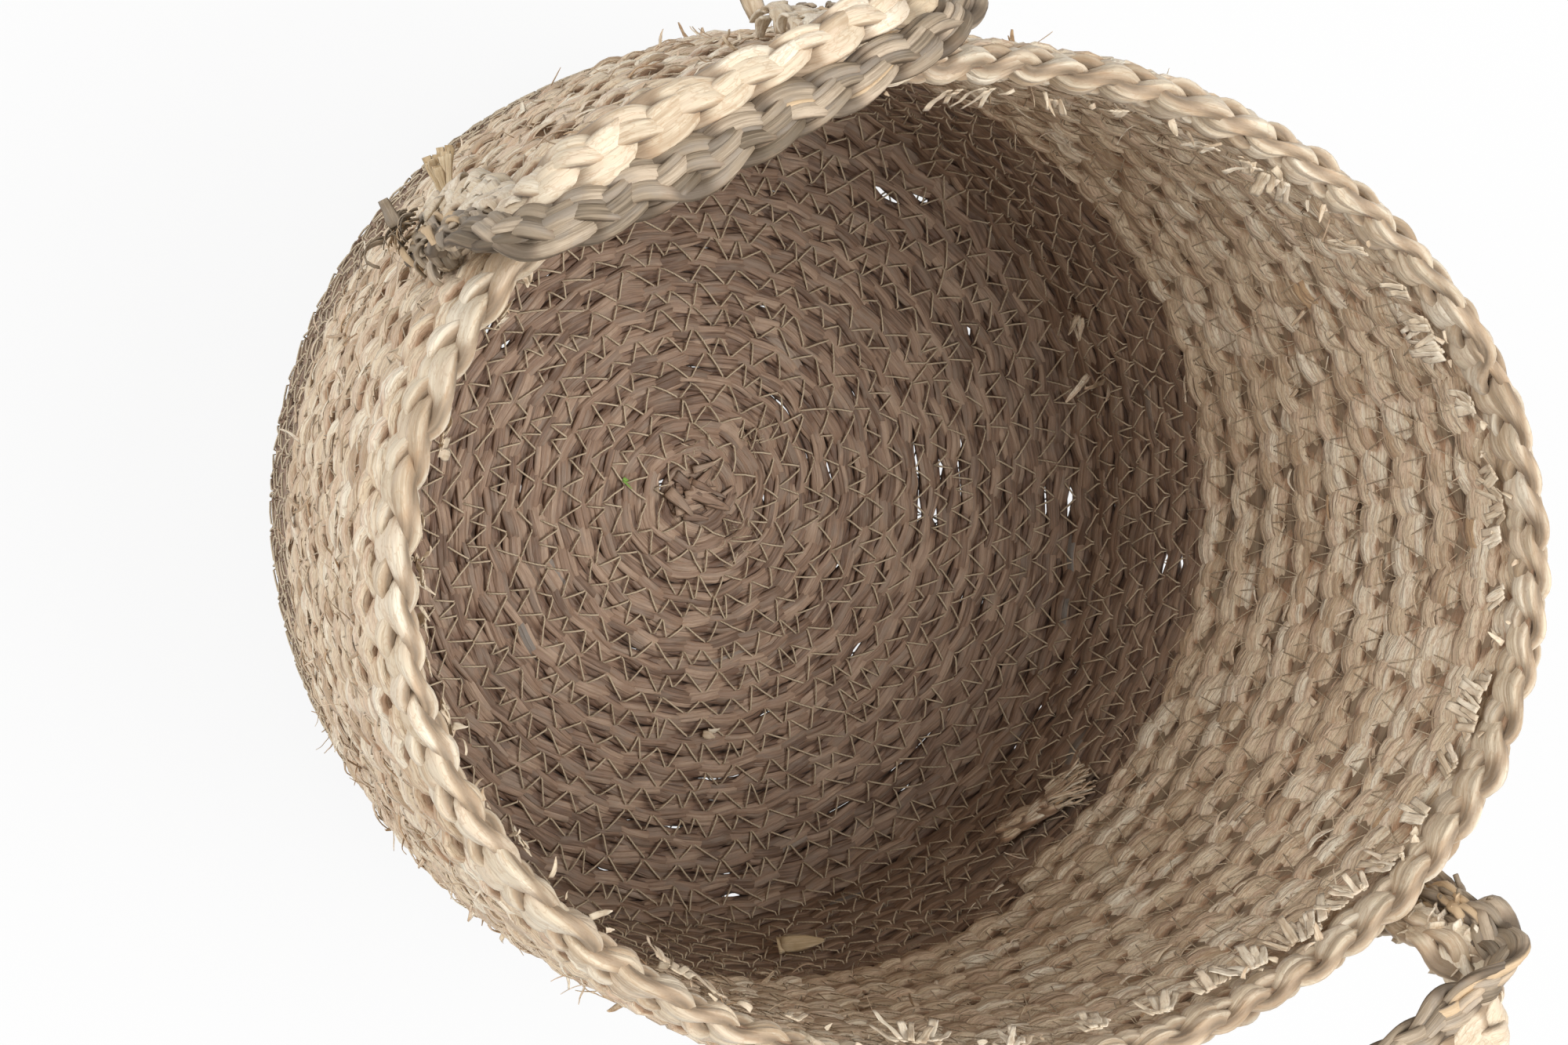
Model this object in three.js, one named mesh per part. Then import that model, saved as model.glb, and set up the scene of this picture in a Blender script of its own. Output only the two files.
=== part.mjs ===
// A soft round basket of plaited fibre: a rush plait wound and sewn into the base and the lower wall,
// a wider maize husk plait wound on above it, a thick plaited rim, and two strap handles, each of one
// husk plait and one sea grass plait side by side, sewn to the outside of the wall by their tails.
import * as THREE from 'three';

// Sizes, in millimetres, and angles, in degrees. The origin is under the start of the coil at the
// centre of the base, +Z is up, and the handles stand on the -X and +X sides.
const baseFlatRadius = 124;
const cornerRadius = 16;
const bellySwell = 5;
const rimTop = 236;
const mouthOval = 0.11;
const mouthTurn = 50;

const rushThickness = 5.5;
const rushBasePitch = 7.75;
const rushWallPitch = 10;
const rushWallReach = 80;
const coilStartOffset = 3.9;

const huskThickness = 9;
const huskPitch = 16.2;

const rimPlaitHeight = 16;
const rimPlaitThickness = 11.5;
const rimSeamTurn = -55;

const strapPlaitWidth = 11;
const strapPlaitThickness = 7;
const strapCrown = 3;
const uprightRise = 38;
const uprightBend = 22;
const foldedRise = 25;
const foldedBend = 17;
const rootTurn = 20.5;
const tailLength = 54;
const tailTwistLength = 24;
const handles = [
  { name: 'handle_a', turn: 180, rise: uprightRise, bend: uprightBend, roll: 72, lean: 0 },
  { name: 'handle_b', turn: -4.5, rise: foldedRise, bend: foldedBend, roll: 155, lean: 42 },
];

const lashingDiameter = 1.6;
const lashingDrop = 26;

const spliceTurn = 18;
const spliceLength = 34;
const spliceWidth = 9;
const spliceThickness = 4;
const spliceClearance = 0.6;

// Clearances between neighbours, and how finely the wound pieces are faceted.
const rowGap = 0.75;
const seat = 0.4;
const stepsPerLoop = 22;
const leastCoilGap = 0.4;

const up = new THREE.Vector3(0, 0, 1);
const radians = THREE.MathUtils.degToRad;

// Heights and reaches that follow from the sizes. A reach is measured along the basket's skin from
// the centre of the base.
const baseMid = rushThickness / 2;
const footHeight = baseMid + cornerRadius;
const footRadius = baseFlatRadius + cornerRadius;
const footReach = baseFlatRadius + cornerRadius * Math.PI / 2;
const rimMid = rimTop - rimPlaitHeight / 2;
const wallTopReach = footReach + rimTop - rimPlaitHeight - seat - footHeight;
const baseTurns = baseFlatRadius / rushBasePitch;
const rushTurns = baseTurns + rushWallReach / rushWallPitch;
const pivotHeight = rimTop + strapPlaitThickness / 2 + seat;
const strapHalfWidth = strapPlaitWidth + seat / 2;

// The skin's mid line at one reach: its radius, its height and its slope from level.
function meridian(reach) {
  if (reach < baseFlatRadius) return { radius: reach, height: baseMid, slope: 0 };
  const bend = (reach - baseFlatRadius) / cornerRadius;
  if (bend < Math.PI / 2) {
    return {
      radius: baseFlatRadius + cornerRadius * Math.sin(bend),
      height: baseMid + cornerRadius * (1 - Math.cos(bend)),
      slope: bend,
    };
  }
  const height = footHeight + reach - footReach;
  const rise = rimMid - footHeight;
  const climb = (height - footHeight) / rise;
  return {
    radius: footRadius + 4 * bellySwell * climb * (1 - climb),
    height,
    slope: Math.PI / 2 - Math.atan(4 * bellySwell * (1 - 2 * climb) / rise),
  };
}

// A point of the skin, which is round at the base and grows oval towards the mouth.
function onOval(radius, height, turn) {
  const oval = mouthOval * Math.max(0, height / rimMid) ** 1.5;
  const along = turn - radians(mouthTurn);
  const point = new THREE.Vector3(
    radius * (1 + oval) * Math.cos(along),
    radius * (1 - oval) * Math.sin(along),
    height,
  );
  return point.applyAxisAngle(up, radians(mouthTurn));
}

// The counts of turns at which a wound piece has its rings: both ends, and each whole step between.
function ringTurns(from, to) {
  const turns = [from];
  for (let step = Math.floor(from * stepsPerLoop) + 1; step / stepsPerLoop < to; step += 1) {
    turns.push(step / stepsPerLoop);
  }
  return [...turns, to];
}

// The point of the faceted wall at one height and turn, and the level directions along and out of it.
function wallDirections(height, turn) {
  const radius = meridian(footReach + height - footHeight).radius;
  const facet = 2 * Math.PI / stepsPerLoop;
  const before = Math.floor(turn / facet) * facet;
  const start = onOval(radius, height, before);
  const end = onOval(radius, height, before + facet);
  const along = end.clone().sub(start).normalize();
  return { point: start.lerp(end, (turn - before) / facet), along, out: along.clone().cross(up) };
}

// A closed body through a row of rings that all have the same number of points.
function skin(rings) {
  const sides = rings[0].length;
  const points = rings.flat();
  const faces = [];
  for (let ring = 0; ring < rings.length - 1; ring += 1) {
    for (let side = 0; side < sides; side += 1) {
      const here = ring * sides + side;
      const next = ring * sides + (side + 1) % sides;
      faces.push(here, next, here + sides, next, next + sides, here + sides);
    }
  }
  const last = points.length - sides;
  for (let side = 1; side < sides - 1; side += 1) {
    faces.push(0, side + 1, side, last, last + side, last + side + 1);
  }
  let volume = 0;
  for (let face = 0; face < faces.length; face += 3) {
    const [a, b, c] = [points[faces[face]], points[faces[face + 1]], points[faces[face + 2]]];
    volume += a.dot(b.clone().cross(c));
  }
  if (volume < 0) faces.reverse();
  const geometry = new THREE.BufferGeometry();
  geometry.setAttribute('position', new THREE.Float32BufferAttribute(points.flatMap((p) => p.toArray()), 3));
  geometry.setIndex(faces);
  geometry.computeVertexNormals();
  return geometry;
}

// One ring of a plait: a flattened outline with a given number of sides, whose flats lie on its faces.
function plaitRing(centre, widthway, faceway, width, thickness, sides) {
  const outlines = {
    6: [[1, 0], [0.6, 1], [-0.6, 1], [-1, 0], [-0.6, -1], [0.6, -1]],
    8: [[1, 0.4], [0.6, 1], [-0.6, 1], [-1, 0.4], [-1, -0.4], [-0.6, -1], [0.6, -1], [1, -0.4]],
  };
  return outlines[sides].map(([across, over]) => centre.clone()
    .addScaledVector(widthway, across * width / 2)
    .addScaledVector(faceway, over * thickness / 2));
}

// The lower edge of the row that the coil lays at a count of turns. A change of pitch takes one turn.
function rowEdge(turns) {
  const eased = (count, before, after) => {
    const ramp = Math.min(Math.max(count, 0), 1);
    return before * Math.min(count, ramp) + (after - before) * ramp * ramp / 2 + after * Math.max(count - 1, 0);
  };
  if (turns < baseTurns) return turns * rushBasePitch;
  if (turns < rushTurns) return baseFlatRadius + eased(turns - baseTurns, rushBasePitch, rushWallPitch);
  const rushEdge = baseFlatRadius + eased(rushTurns - baseTurns, rushBasePitch, rushWallPitch);
  return rushEdge + eased(turns - rushTurns, rushWallPitch, huskPitch);
}

// One ring of the coil. The coil starts a little off centre, so that its end lies over the middle.
function coilRing(turns, thickness) {
  const lower = rowEdge(turns);
  const upper = Math.min(rowEdge(turns + 1), wallTopReach);
  const { radius, height, slope } = meridian((lower + upper) / 2);
  const turn = turns * 2 * Math.PI;
  const centre = onOval(radius, height, turn);
  const out = new THREE.Vector3(centre.x, centre.y, 0).normalize();
  centre.x -= coilStartOffset * Math.max(0, 1 - turns / baseTurns);
  const widthway = out.clone().multiplyScalar(Math.cos(slope)).addScaledVector(up, Math.sin(slope));
  const faceway = out.clone().multiplyScalar(-Math.sin(slope)).addScaledVector(up, Math.cos(slope));
  const width = Math.min(upper - lower, 2 * radius) - rowGap;
  return plaitRing(centre, widthway, faceway, width, Math.min(thickness, width), 6);
}

// One unbroken wound plait between two counts of turns, with its least gap to itself.
function windCoil(name, from, to, thickness) {
  const rings = ringTurns(from, to).map((turns) => coilRing(turns, thickness));
  let gap = Infinity;
  for (let ring = 0; ring + stepsPerLoop < rings.length; ring += 1) {
    for (const inner of rings[ring]) {
      for (const outer of rings[ring + stepsPerLoop]) gap = Math.min(gap, inner.distanceTo(outer));
    }
  }
  console.log(`${name}: least gap between its turns ${gap.toFixed(2)} mm, wanted over ${leastCoilGap} mm`);
  return skin(rings);
}

// The count of turns at which the husk row under the rim has narrowed to a thin end.
function huskEndTurns() {
  const thinnest = 2.4;
  let turns = rushTurns + 1;
  while (wallTopReach - rowEdge(turns) > thinnest + rowGap) turns += 1 / stepsPerLoop;
  return turns;
}

// The rim plait goes round once, and its two ends butt at the seam.
function rimRings() {
  const seam = rimSeamTurn / 360;
  const seamGap = seat / (2 * Math.PI * footRadius);
  return ringTurns(seam, seam + 1 - seamGap).map((turns) => {
    const point = onOval(meridian(footReach + rimMid - footHeight).radius, rimMid, turns * 2 * Math.PI);
    const out = new THREE.Vector3(point.x, point.y, 0).normalize();
    return plaitRing(point, up, out, rimPlaitHeight, rimPlaitThickness, 8);
  });
}

// Where a strap handle is sewn on: its two pivots, the hinge line through them and the way out.
function handleFrame(handle) {
  const centreTurn = radians(handle.turn);
  const roots = [-1, 1].map((side) => ({ side, turn: centreTurn + side * radians(rootTurn) }));
  const [left, right] = roots.map((root) => wallDirections(rimMid, root.turn).point);
  const chord = right.clone().sub(left).normalize();
  for (const root of roots) {
    const { along } = wallDirections(rimMid, root.turn);
    root.twist = Math.atan2(along.clone().cross(chord).z, along.dot(chord));
    root.pivot = tailPoint(root, pivotHeight).centre;
  }
  const hinge = roots[1].pivot.clone().sub(roots[0].pivot);
  const span = hinge.length();
  hinge.normalize();
  const middle = roots[0].pivot.clone().add(roots[1].pivot).multiplyScalar(0.5);
  return { roots, hinge, span, middle, out: hinge.clone().cross(up) };
}

// The middle of the strap's tail at one height. It lies flat on the wall low down, and turns to stand
// along the hinge line at the top, moving out so that its inner edge clears the wall.
function tailPoint(root, height) {
  const wallHeight = Math.min(height, rimMid);
  const { point, along, out } = wallDirections(wallHeight, root.turn);
  point.z = height;
  const share = THREE.MathUtils.smoothstep(height, rimTop - tailTwistLength, rimTop);
  const ease = THREE.MathUtils.smoothstep(height, rimTop - 2 * rimPlaitHeight, rimTop - rimPlaitHeight);
  const faceReach = THREE.MathUtils.lerp(huskThickness, rimPlaitThickness, ease) / 2;
  const clear = strapHalfWidth * Math.sin(Math.abs(root.twist) * share);
  const reach = faceReach + seat + strapPlaitThickness / 2 + clear;
  const sideways = along.clone().applyAxisAngle(up, root.twist * share).multiplyScalar(root.side);
  return {
    centre: point.addScaledVector(out, reach),
    sideways,
    out: out.clone().applyAxisAngle(up, root.twist * share),
  };
}

// One plait of a sewn tail: the husk plait lies towards the middle of the handle, the grass plait away.
function tailRings(root, offset) {
  const topHeight = pivotHeight - strapPlaitThickness / 2 - seat;
  const steps = 9;
  return Array.from({ length: steps + 1 }, (unused, step) => {
    const { centre, sideways, out } = tailPoint(root, topHeight - tailLength * step / steps);
    centre.addScaledVector(sideways, offset);
    return plaitRing(centre, sideways, out, strapPlaitWidth, strapPlaitThickness, 8);
  });
}

// The strap's mid line above the hinge line, one half, as distance from the middle, height and slope.
function strapPath(halfSpan, rise, bendRadius) {
  const path = [];
  const legTop = rise - bendRadius;
  const legSteps = 2;
  const bendSteps = 11;
  const barSteps = 5;
  for (let step = 0; step <= legSteps; step += 1) {
    path.push({ across: halfSpan, height: legTop * step / legSteps, slope: Math.PI / 2 });
  }
  for (let step = 1; step <= bendSteps; step += 1) {
    const bend = Math.PI / 2 * step / bendSteps;
    path.push({
      across: halfSpan - bendRadius * (1 - Math.cos(bend)),
      height: legTop + bendRadius * Math.sin(bend),
      slope: Math.PI / 2 - bend,
    });
  }
  const bar = halfSpan - bendRadius;
  for (let step = 1; step <= barSteps; step += 1) {
    const share = step / barSteps;
    path.push({
      across: bar * (1 - share),
      height: rise + strapCrown * share * (2 - share),
      slope: 0,
    });
  }
  return path;
}

// One plait of a handle's loop, with round ends about the hinge line.
function loopRings(frame, handle, offset) {
  const half = strapPath(frame.span / 2, handle.rise, handle.bend);
  const sideOf = (side) => half.map((stop, index) => ({ ...stop, side, share: index / (half.length - 1) }));
  const path = [...sideOf(-1), ...sideOf(1).slice(0, -1).reverse()];
  const rings = path.map(({ across, height, slope, side, share }) => {
    const outside = frame.hinge.clone().multiplyScalar(side * Math.sin(slope)).addScaledVector(up, Math.cos(slope));
    const roll = radians(handle.roll) * THREE.MathUtils.smoothstep(share, 0, 0.72);
    const widthway = outside.clone().multiplyScalar(Math.cos(roll)).addScaledVector(frame.out, -Math.sin(roll));
    const faceway = frame.out.clone().multiplyScalar(Math.cos(roll)).addScaledVector(outside, Math.sin(roll));
    const centre = frame.middle.clone().addScaledVector(frame.hinge, side * across).addScaledVector(up, height)
      .addScaledVector(widthway, offset);
    return plaitRing(centre, widthway, faceway, strapPlaitWidth, strapPlaitThickness, 8);
  });
  const roundEnd = (side) => [30, 60, 84].map((angle) => {
    const centre = frame.middle.clone().addScaledVector(frame.hinge, side * (frame.span / 2 + offset));
    centre.z -= Math.sin(radians(angle)) * strapPlaitThickness / 2;
    const sideways = frame.hinge.clone().multiplyScalar(side);
    const thickness = Math.cos(radians(angle)) * strapPlaitThickness;
    return plaitRing(centre, sideways, frame.out, strapPlaitWidth, thickness, 8);
  });
  return [...roundEnd(-1).reverse(), ...rings, ...roundEnd(1)];
}

// A thread laid over both plaits of a tail, with its ends down beside them.
function lashingRings(root) {
  const { centre, sideways, out } = tailPoint(root, rimTop - lashingDrop);
  const radius = lashingDiameter / 2;
  const beside = strapHalfWidth + seat + radius;
  const over = strapPlaitThickness / 2 + seat + radius;
  const bend = 2.5;
  const path = [
    [-beside, -strapPlaitThickness / 2 + radius], [-beside, over - bend], [-beside + bend, over],
    [beside - bend, over], [beside, over - bend], [beside, -strapPlaitThickness / 2 + radius],
  ];
  const headings = [[0, 1], [0.38, 0.92], [0.92, 0.38], [0.92, -0.38], [0.38, -0.92], [0, -1]];
  return path.map(([across, away], index) => {
    const place = centre.clone().addScaledVector(sideways, across).addScaledVector(out, away);
    const [ahead, lift] = headings[index];
    const side = sideways.clone().multiplyScalar(-lift).addScaledVector(out, ahead);
    return plaitRing(place, up, side, lashingDiameter, lashingDiameter, 6);
  });
}

// The husk plait's own end, which lies inside the wall below its first row and narrows to a tuft.
function spliceRings() {
  const steps = 6;
  const startHeight = meridian(rowEdge(rushTurns)).height - 4;
  return Array.from({ length: steps + 1 }, (unused, step) => {
    const share = step / steps;
    const height = startHeight - 0.5 * spliceLength * share;
    const turn = radians(spliceTurn) - 0.87 * spliceLength * share / footRadius;
    const { point, along, out } = wallDirections(height, turn);
    const inside = rushThickness / 2 + spliceClearance + spliceThickness / 2;
    const widthway = up.clone().multiplyScalar(0.87).addScaledVector(along, -0.5);
    const width = spliceWidth * (1 - 0.45 * share);
    return plaitRing(point.addScaledVector(out, -inside), widthway, out, width, spliceThickness, 6);
  });
}

const fibre = (color) => new THREE.MeshStandardMaterial({ color, roughness: 0.85, metalness: 0 });
const materials = {
  rush: fibre(0x8a6f5a),
  husk: fibre(0xcdb38a),
  rimHusk: fibre(0xdfc9a0),
  grass: fibre(0x8f8262),
  thread: fibre(0xa58f68),
};

const basket = new THREE.Group();

function addPiece(name, geometry, material) {
  const mesh = new THREE.Mesh(geometry, material);
  mesh.name = name;
  basket.add(mesh);
  return mesh;
}

function addHandle(handle) {
  const frame = handleFrame(handle);
  const offset = (strapPlaitWidth + seat) / 2;
  const plaits = [['husk', -offset, materials.rimHusk], ['grass', offset, materials.grass]];
  for (const [plait, place, material] of plaits) {
    const loop = skin(loopRings(frame, handle, place));
    const lean = new THREE.Matrix4().makeRotationAxis(frame.hinge, radians(handle.lean));
    loop.translate(-frame.middle.x, -frame.middle.y, -frame.middle.z).applyMatrix4(lean)
      .translate(frame.middle.x, frame.middle.y, frame.middle.z);
    addPiece(`${handle.name}_${plait}_loop`, loop, material);
    for (const root of frame.roots) {
      const side = root.side < 0 ? 'left' : 'right';
      addPiece(`${handle.name}_${side}_${plait}_tail`, skin(tailRings(root, place)), material);
    }
  }
  for (const root of frame.roots) {
    const side = root.side < 0 ? 'left' : 'right';
    addPiece(`${handle.name}_${side}_lashing`, skin(lashingRings(root)), materials.thread);
  }
  basket.userData[handle.name] = { middle: frame.middle, hinge: frame.hinge, out: frame.out, span: frame.span };
}

const coilStart = -2 / stepsPerLoop;
const spliceGap = seat / (2 * Math.PI * footRadius);
addPiece('rush_coil', windCoil('rush_coil', coilStart, rushTurns, rushThickness), materials.rush);
addPiece('husk_coil', windCoil('husk_coil', rushTurns + spliceGap, huskEndTurns(), huskThickness), materials.husk);
addPiece('rim_plait', skin(rimRings()), materials.rimHusk);
addPiece('splice_tail', skin(spliceRings()), materials.husk);
handles.forEach(addHandle);

export default basket;
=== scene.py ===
"""Looks of a plaited fibre basket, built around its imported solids.

The skin class repeats the basket's own sizes, so that every plait, thread and tuft lies where the
solid that it stands for lies. Angles are in radians and lengths in metres, or in millimetres where a
name ends in mm.
"""
import logging
import math
from collections import defaultdict
from collections.abc import Iterable, Iterator, Sequence
from dataclasses import dataclass, field
from enum import Enum

import bmesh
import bpy
import numpy as np
from mathutils import Matrix, Vector


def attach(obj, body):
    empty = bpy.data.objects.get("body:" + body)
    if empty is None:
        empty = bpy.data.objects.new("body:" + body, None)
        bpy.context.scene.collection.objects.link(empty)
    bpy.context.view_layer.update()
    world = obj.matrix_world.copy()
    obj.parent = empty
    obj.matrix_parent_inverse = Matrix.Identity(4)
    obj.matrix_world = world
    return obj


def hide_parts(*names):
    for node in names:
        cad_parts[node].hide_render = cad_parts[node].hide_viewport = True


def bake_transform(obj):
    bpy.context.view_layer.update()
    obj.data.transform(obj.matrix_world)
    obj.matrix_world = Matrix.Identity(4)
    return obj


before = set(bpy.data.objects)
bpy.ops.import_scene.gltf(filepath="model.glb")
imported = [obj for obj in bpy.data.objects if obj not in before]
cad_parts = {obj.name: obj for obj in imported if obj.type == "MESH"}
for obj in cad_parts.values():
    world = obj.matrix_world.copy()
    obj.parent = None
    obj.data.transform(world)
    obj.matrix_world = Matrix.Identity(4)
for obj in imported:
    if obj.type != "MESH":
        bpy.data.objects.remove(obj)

Array = np.ndarray
Random = np.random.Generator
Socket = bpy.types.NodeSocket
Triple = tuple[float, float, float]

LOG = logging.getLogger("basket")
UP = np.array([0.0, 0.0, 1.0])
LEVEL = np.array([1.0, 1.0, 0.0])
MM = 0.001
TINY = 1e-12
FULL_TURN = 2 * math.pi
SEEDS = 10000


def unit(rows: Array) -> Array:
    """Scale each row of an array of vectors to length one."""
    return rows / np.maximum(np.linalg.norm(rows, axis=-1, keepdims=True), TINY)


def eased(value: Array | float, low: float, high: float) -> Array:
    """Ease from 0 to 1 while a value goes from low to high."""
    share = np.clip((np.asarray(value) - low) / (high - low), 0, 1)
    return share * share * (3 - 2 * share)


def lengths_along(line: Array) -> Array:
    """Give the length from the start of a line to each of its points."""
    return np.concatenate([[0.0], np.cumsum(np.linalg.norm(np.diff(line, axis=0), axis=1))])


def sampled(rows: Array, lengths: Array, wanted: Array) -> Array:
    """Interpolate an array whose rows lie at some lengths at other lengths."""
    columns = [np.interp(wanted, lengths, column) for column in rows.reshape(len(rows), -1).T]
    return np.stack(columns, axis=-1).reshape(-1, *rows.shape[1:])


def moved(points: Array, *shifts: tuple[Array, Array]) -> Array:
    """Move each point of a line along each given way, by that way's length for the point."""
    return sum((way * length[:, None] for way, length in shifts), points)


def linked(name: str, data: bpy.types.ID, place: Matrix = Matrix()) -> bpy.types.Object:
    """Put an object into the scene.

    Args:
        name: Its name.
        data: Its mesh, lamp or camera.
        place: Where it stands.

    Returns:
        The object.
    """
    made = bpy.data.objects.new(name, data)
    made.matrix_world = place
    bpy.context.scene.collection.objects.link(made)
    return made


class Unevenness:
    """Smooth random change along a length, the same on each run."""

    def __init__(self, seed: int) -> None:
        """Start the random numbers from a seed."""
        self.random = np.random.default_rng(seed)

    def along(self, place: Array, spacing: float) -> Array:
        """Give a smooth value from -1 to 1 at each place.

        Args:
            place: Lengths from the start, none below 0.
            spacing: The length between free values.

        Returns:
            One value for each place.
        """
        steps = place / spacing
        knots = self.random.uniform(-1, 1, int(steps.max()) + 3)
        index = steps.astype(int)
        share = eased(steps - index, 0, 1)
        return knots[index] * (1 - share) + knots[index + 1] * share

    def factor(self, place: Array, spacing: float, amount: Array | float) -> Array:
        """Give a smooth factor about one, which strays by an amount at most."""
        return 1 + amount * self.along(place, spacing)


@dataclass(frozen=True)
class Skin:
    """The mid line of the basket's wall, and the row that the coil lays on it at each turn."""

    base_flat_radius: float = 0.124
    corner_radius: float = 0.016
    belly_swell: float = 0.005
    rim_top: float = 0.236
    rim_height: float = 0.016
    rim_thickness: float = 0.0115
    mouth_oval: float = 0.11
    oval_growth: float = 1.5
    mouth_turn: float = math.radians(50)
    rush_thickness: float = 0.0055
    rush_base_pitch: float = 0.00775
    rush_wall_pitch: float = 0.010
    rush_wall_reach: float = 0.080
    husk_thickness: float = 0.009
    husk_pitch: float = 0.0162
    last_row_width: float = 0.00315
    start_offset: float = 0.0039
    row_gap: float = 0.00075
    seat: float = 0.0004
    facets: int = 22
    chord_share: float = 0.995

    @property
    def base_mid(self) -> float:
        """Height of the base's mid line."""
        return self.rush_thickness / 2

    @property
    def foot_height(self) -> float:
        """Height at which the corner becomes the wall."""
        return self.base_mid + self.corner_radius

    @property
    def foot_radius(self) -> float:
        """Radius at which the corner becomes the wall."""
        return self.base_flat_radius + self.corner_radius

    @property
    def foot_reach(self) -> float:
        """Reach at which the corner becomes the wall."""
        return self.base_flat_radius + self.corner_radius * math.pi / 2

    @property
    def rim_mid(self) -> float:
        """Height of the rim plait's mid line."""
        return self.rim_top - self.rim_height / 2

    @property
    def wall_top_reach(self) -> float:
        """Reach at which the last row ends, under the rim."""
        return self.foot_reach + self.rim_top - self.rim_height - self.seat - self.foot_height

    @property
    def base_turns(self) -> float:
        """Count of turns on the flat of the base."""
        return self.base_flat_radius / self.rush_base_pitch

    @property
    def rush_turns(self) -> float:
        """Count of turns at which rush changes to husk."""
        return self.base_turns + self.rush_wall_reach / self.rush_wall_pitch

    @property
    def husk_turns(self) -> float:
        """Count the turns until the last row has run out under the rim.

        Returns:
            The count from the start of the coil.
        """
        turns = self.rush_turns + 1
        while self.wall_top_reach - float(self.row_edge(np.array(turns))) > self.last_row_width:
            turns += 1 / self.facets
        return turns

    def meridian(self, reach: Array) -> tuple[Array, Array, Array]:
        """Follow the mid line out from the middle of the base and up the wall.

        Args:
            reach: Lengths along the mid line.

        Returns:
            Radius, height and slope from level at each length.
        """
        bend = np.clip((reach - self.base_flat_radius) / self.corner_radius, 0, math.pi / 2)
        climbed = np.maximum(reach - self.foot_reach, 0)
        rise = self.rim_mid - self.foot_height
        climb = climbed / rise
        swell = 4 * self.belly_swell * climb * (1 - climb)
        radius = np.minimum(reach, self.base_flat_radius) + self.corner_radius * np.sin(bend) + swell
        height = self.base_mid + self.corner_radius * (1 - np.cos(bend)) + climbed
        lean = np.arctan(4 * self.belly_swell * (1 - 2 * climb) / rise)
        return radius, height, np.where(climbed > 0, math.pi / 2 - lean, bend)

    def on_oval(self, radius: Array, height: Array, turn: Array) -> Array:
        """Place points on the skin, which is round at the base and grows oval towards the mouth.

        Args:
            radius: Radius of the round basket at each point.
            height: Height of each point.
            turn: Angle round the basket.

        Returns:
            Points, one in each row.
        """
        oval = self.mouth_oval * (np.maximum(height, 0) / self.rim_mid) ** self.oval_growth
        long_way = radius * (1 + oval) * np.cos(turn - self.mouth_turn)
        short_way = radius * (1 - oval) * np.sin(turn - self.mouth_turn)
        cos, sin = math.cos(self.mouth_turn), math.sin(self.mouth_turn)
        return np.stack([long_way * cos - short_way * sin, long_way * sin + short_way * cos,
                         height + 0 * long_way], axis=-1)

    def row_edge(self, turns: Array) -> Array:
        """Give the reach of the lower edge of the row that is laid at a count of turns.

        Args:
            turns: Counts of turns from the start of the coil.

        Returns:
            The reach at each count.
        """
        def change(count: Array, before: float, after: float) -> Array:
            """Add up rows whose pitch changes over one turn."""
            ramp, rest = np.clip(count, 0, 1), np.maximum(count - 1, 0)
            return before * np.minimum(count, ramp) + ((after - before) * ramp * ramp / 2 + after * rest)

        pitches = self.rush_base_pitch, self.rush_wall_pitch
        wall = change(turns - self.base_turns, *pitches)
        last_rush = change(np.array(self.rush_turns - self.base_turns), *pitches)
        husk = change(turns - self.rush_turns, self.rush_wall_pitch, self.husk_pitch)
        beyond = np.where(turns < self.rush_turns, wall, last_rush + husk)
        return np.where(turns < self.base_turns, turns * self.rush_base_pitch, self.base_flat_radius + beyond)

    def surface(self, reach: Array, turns: Array) -> tuple[Array, Array, Array]:
        """Place points on the mid line of the wound wall.

        Args:
            reach: Reach of each point.
            turns: Count of turns of each point, which gives its angle.

        Returns:
            Points, the way across the rows, and the way off the inner face.
        """
        radius, height, slope = self.meridian(reach)
        point = self.on_oval(radius * self.chord_share, height, turns * FULL_TURN)
        out = unit(point * LEVEL + TINY)
        point[..., 0] -= self.start_offset * np.maximum(0, 1 - turns / self.base_turns)
        cos, sin = np.cos(slope)[..., None], np.sin(slope)[..., None]
        return point, out * cos + UP * sin, UP * cos - out * sin

    def wall(self, height: float, turn: float) -> tuple[Array, Array, Array]:
        """Give a point of the faceted wall, and the level ways along and out of it.

        Args:
            height: Height of the point.
            turn: Angle round the basket.

        Returns:
            The point, the way along the wall and the way out.
        """
        radius = self.meridian(np.array(self.foot_reach + height - self.foot_height))[0]
        facet = FULL_TURN / self.facets
        before = math.floor(turn / facet) * facet
        start, end = (self.on_oval(radius, np.array(height), np.array(angle))
                      for angle in (before, before + facet))
        along = unit(end - start)
        return start + (end - start) * (turn - before) / facet, along, np.cross(along, UP)


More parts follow.
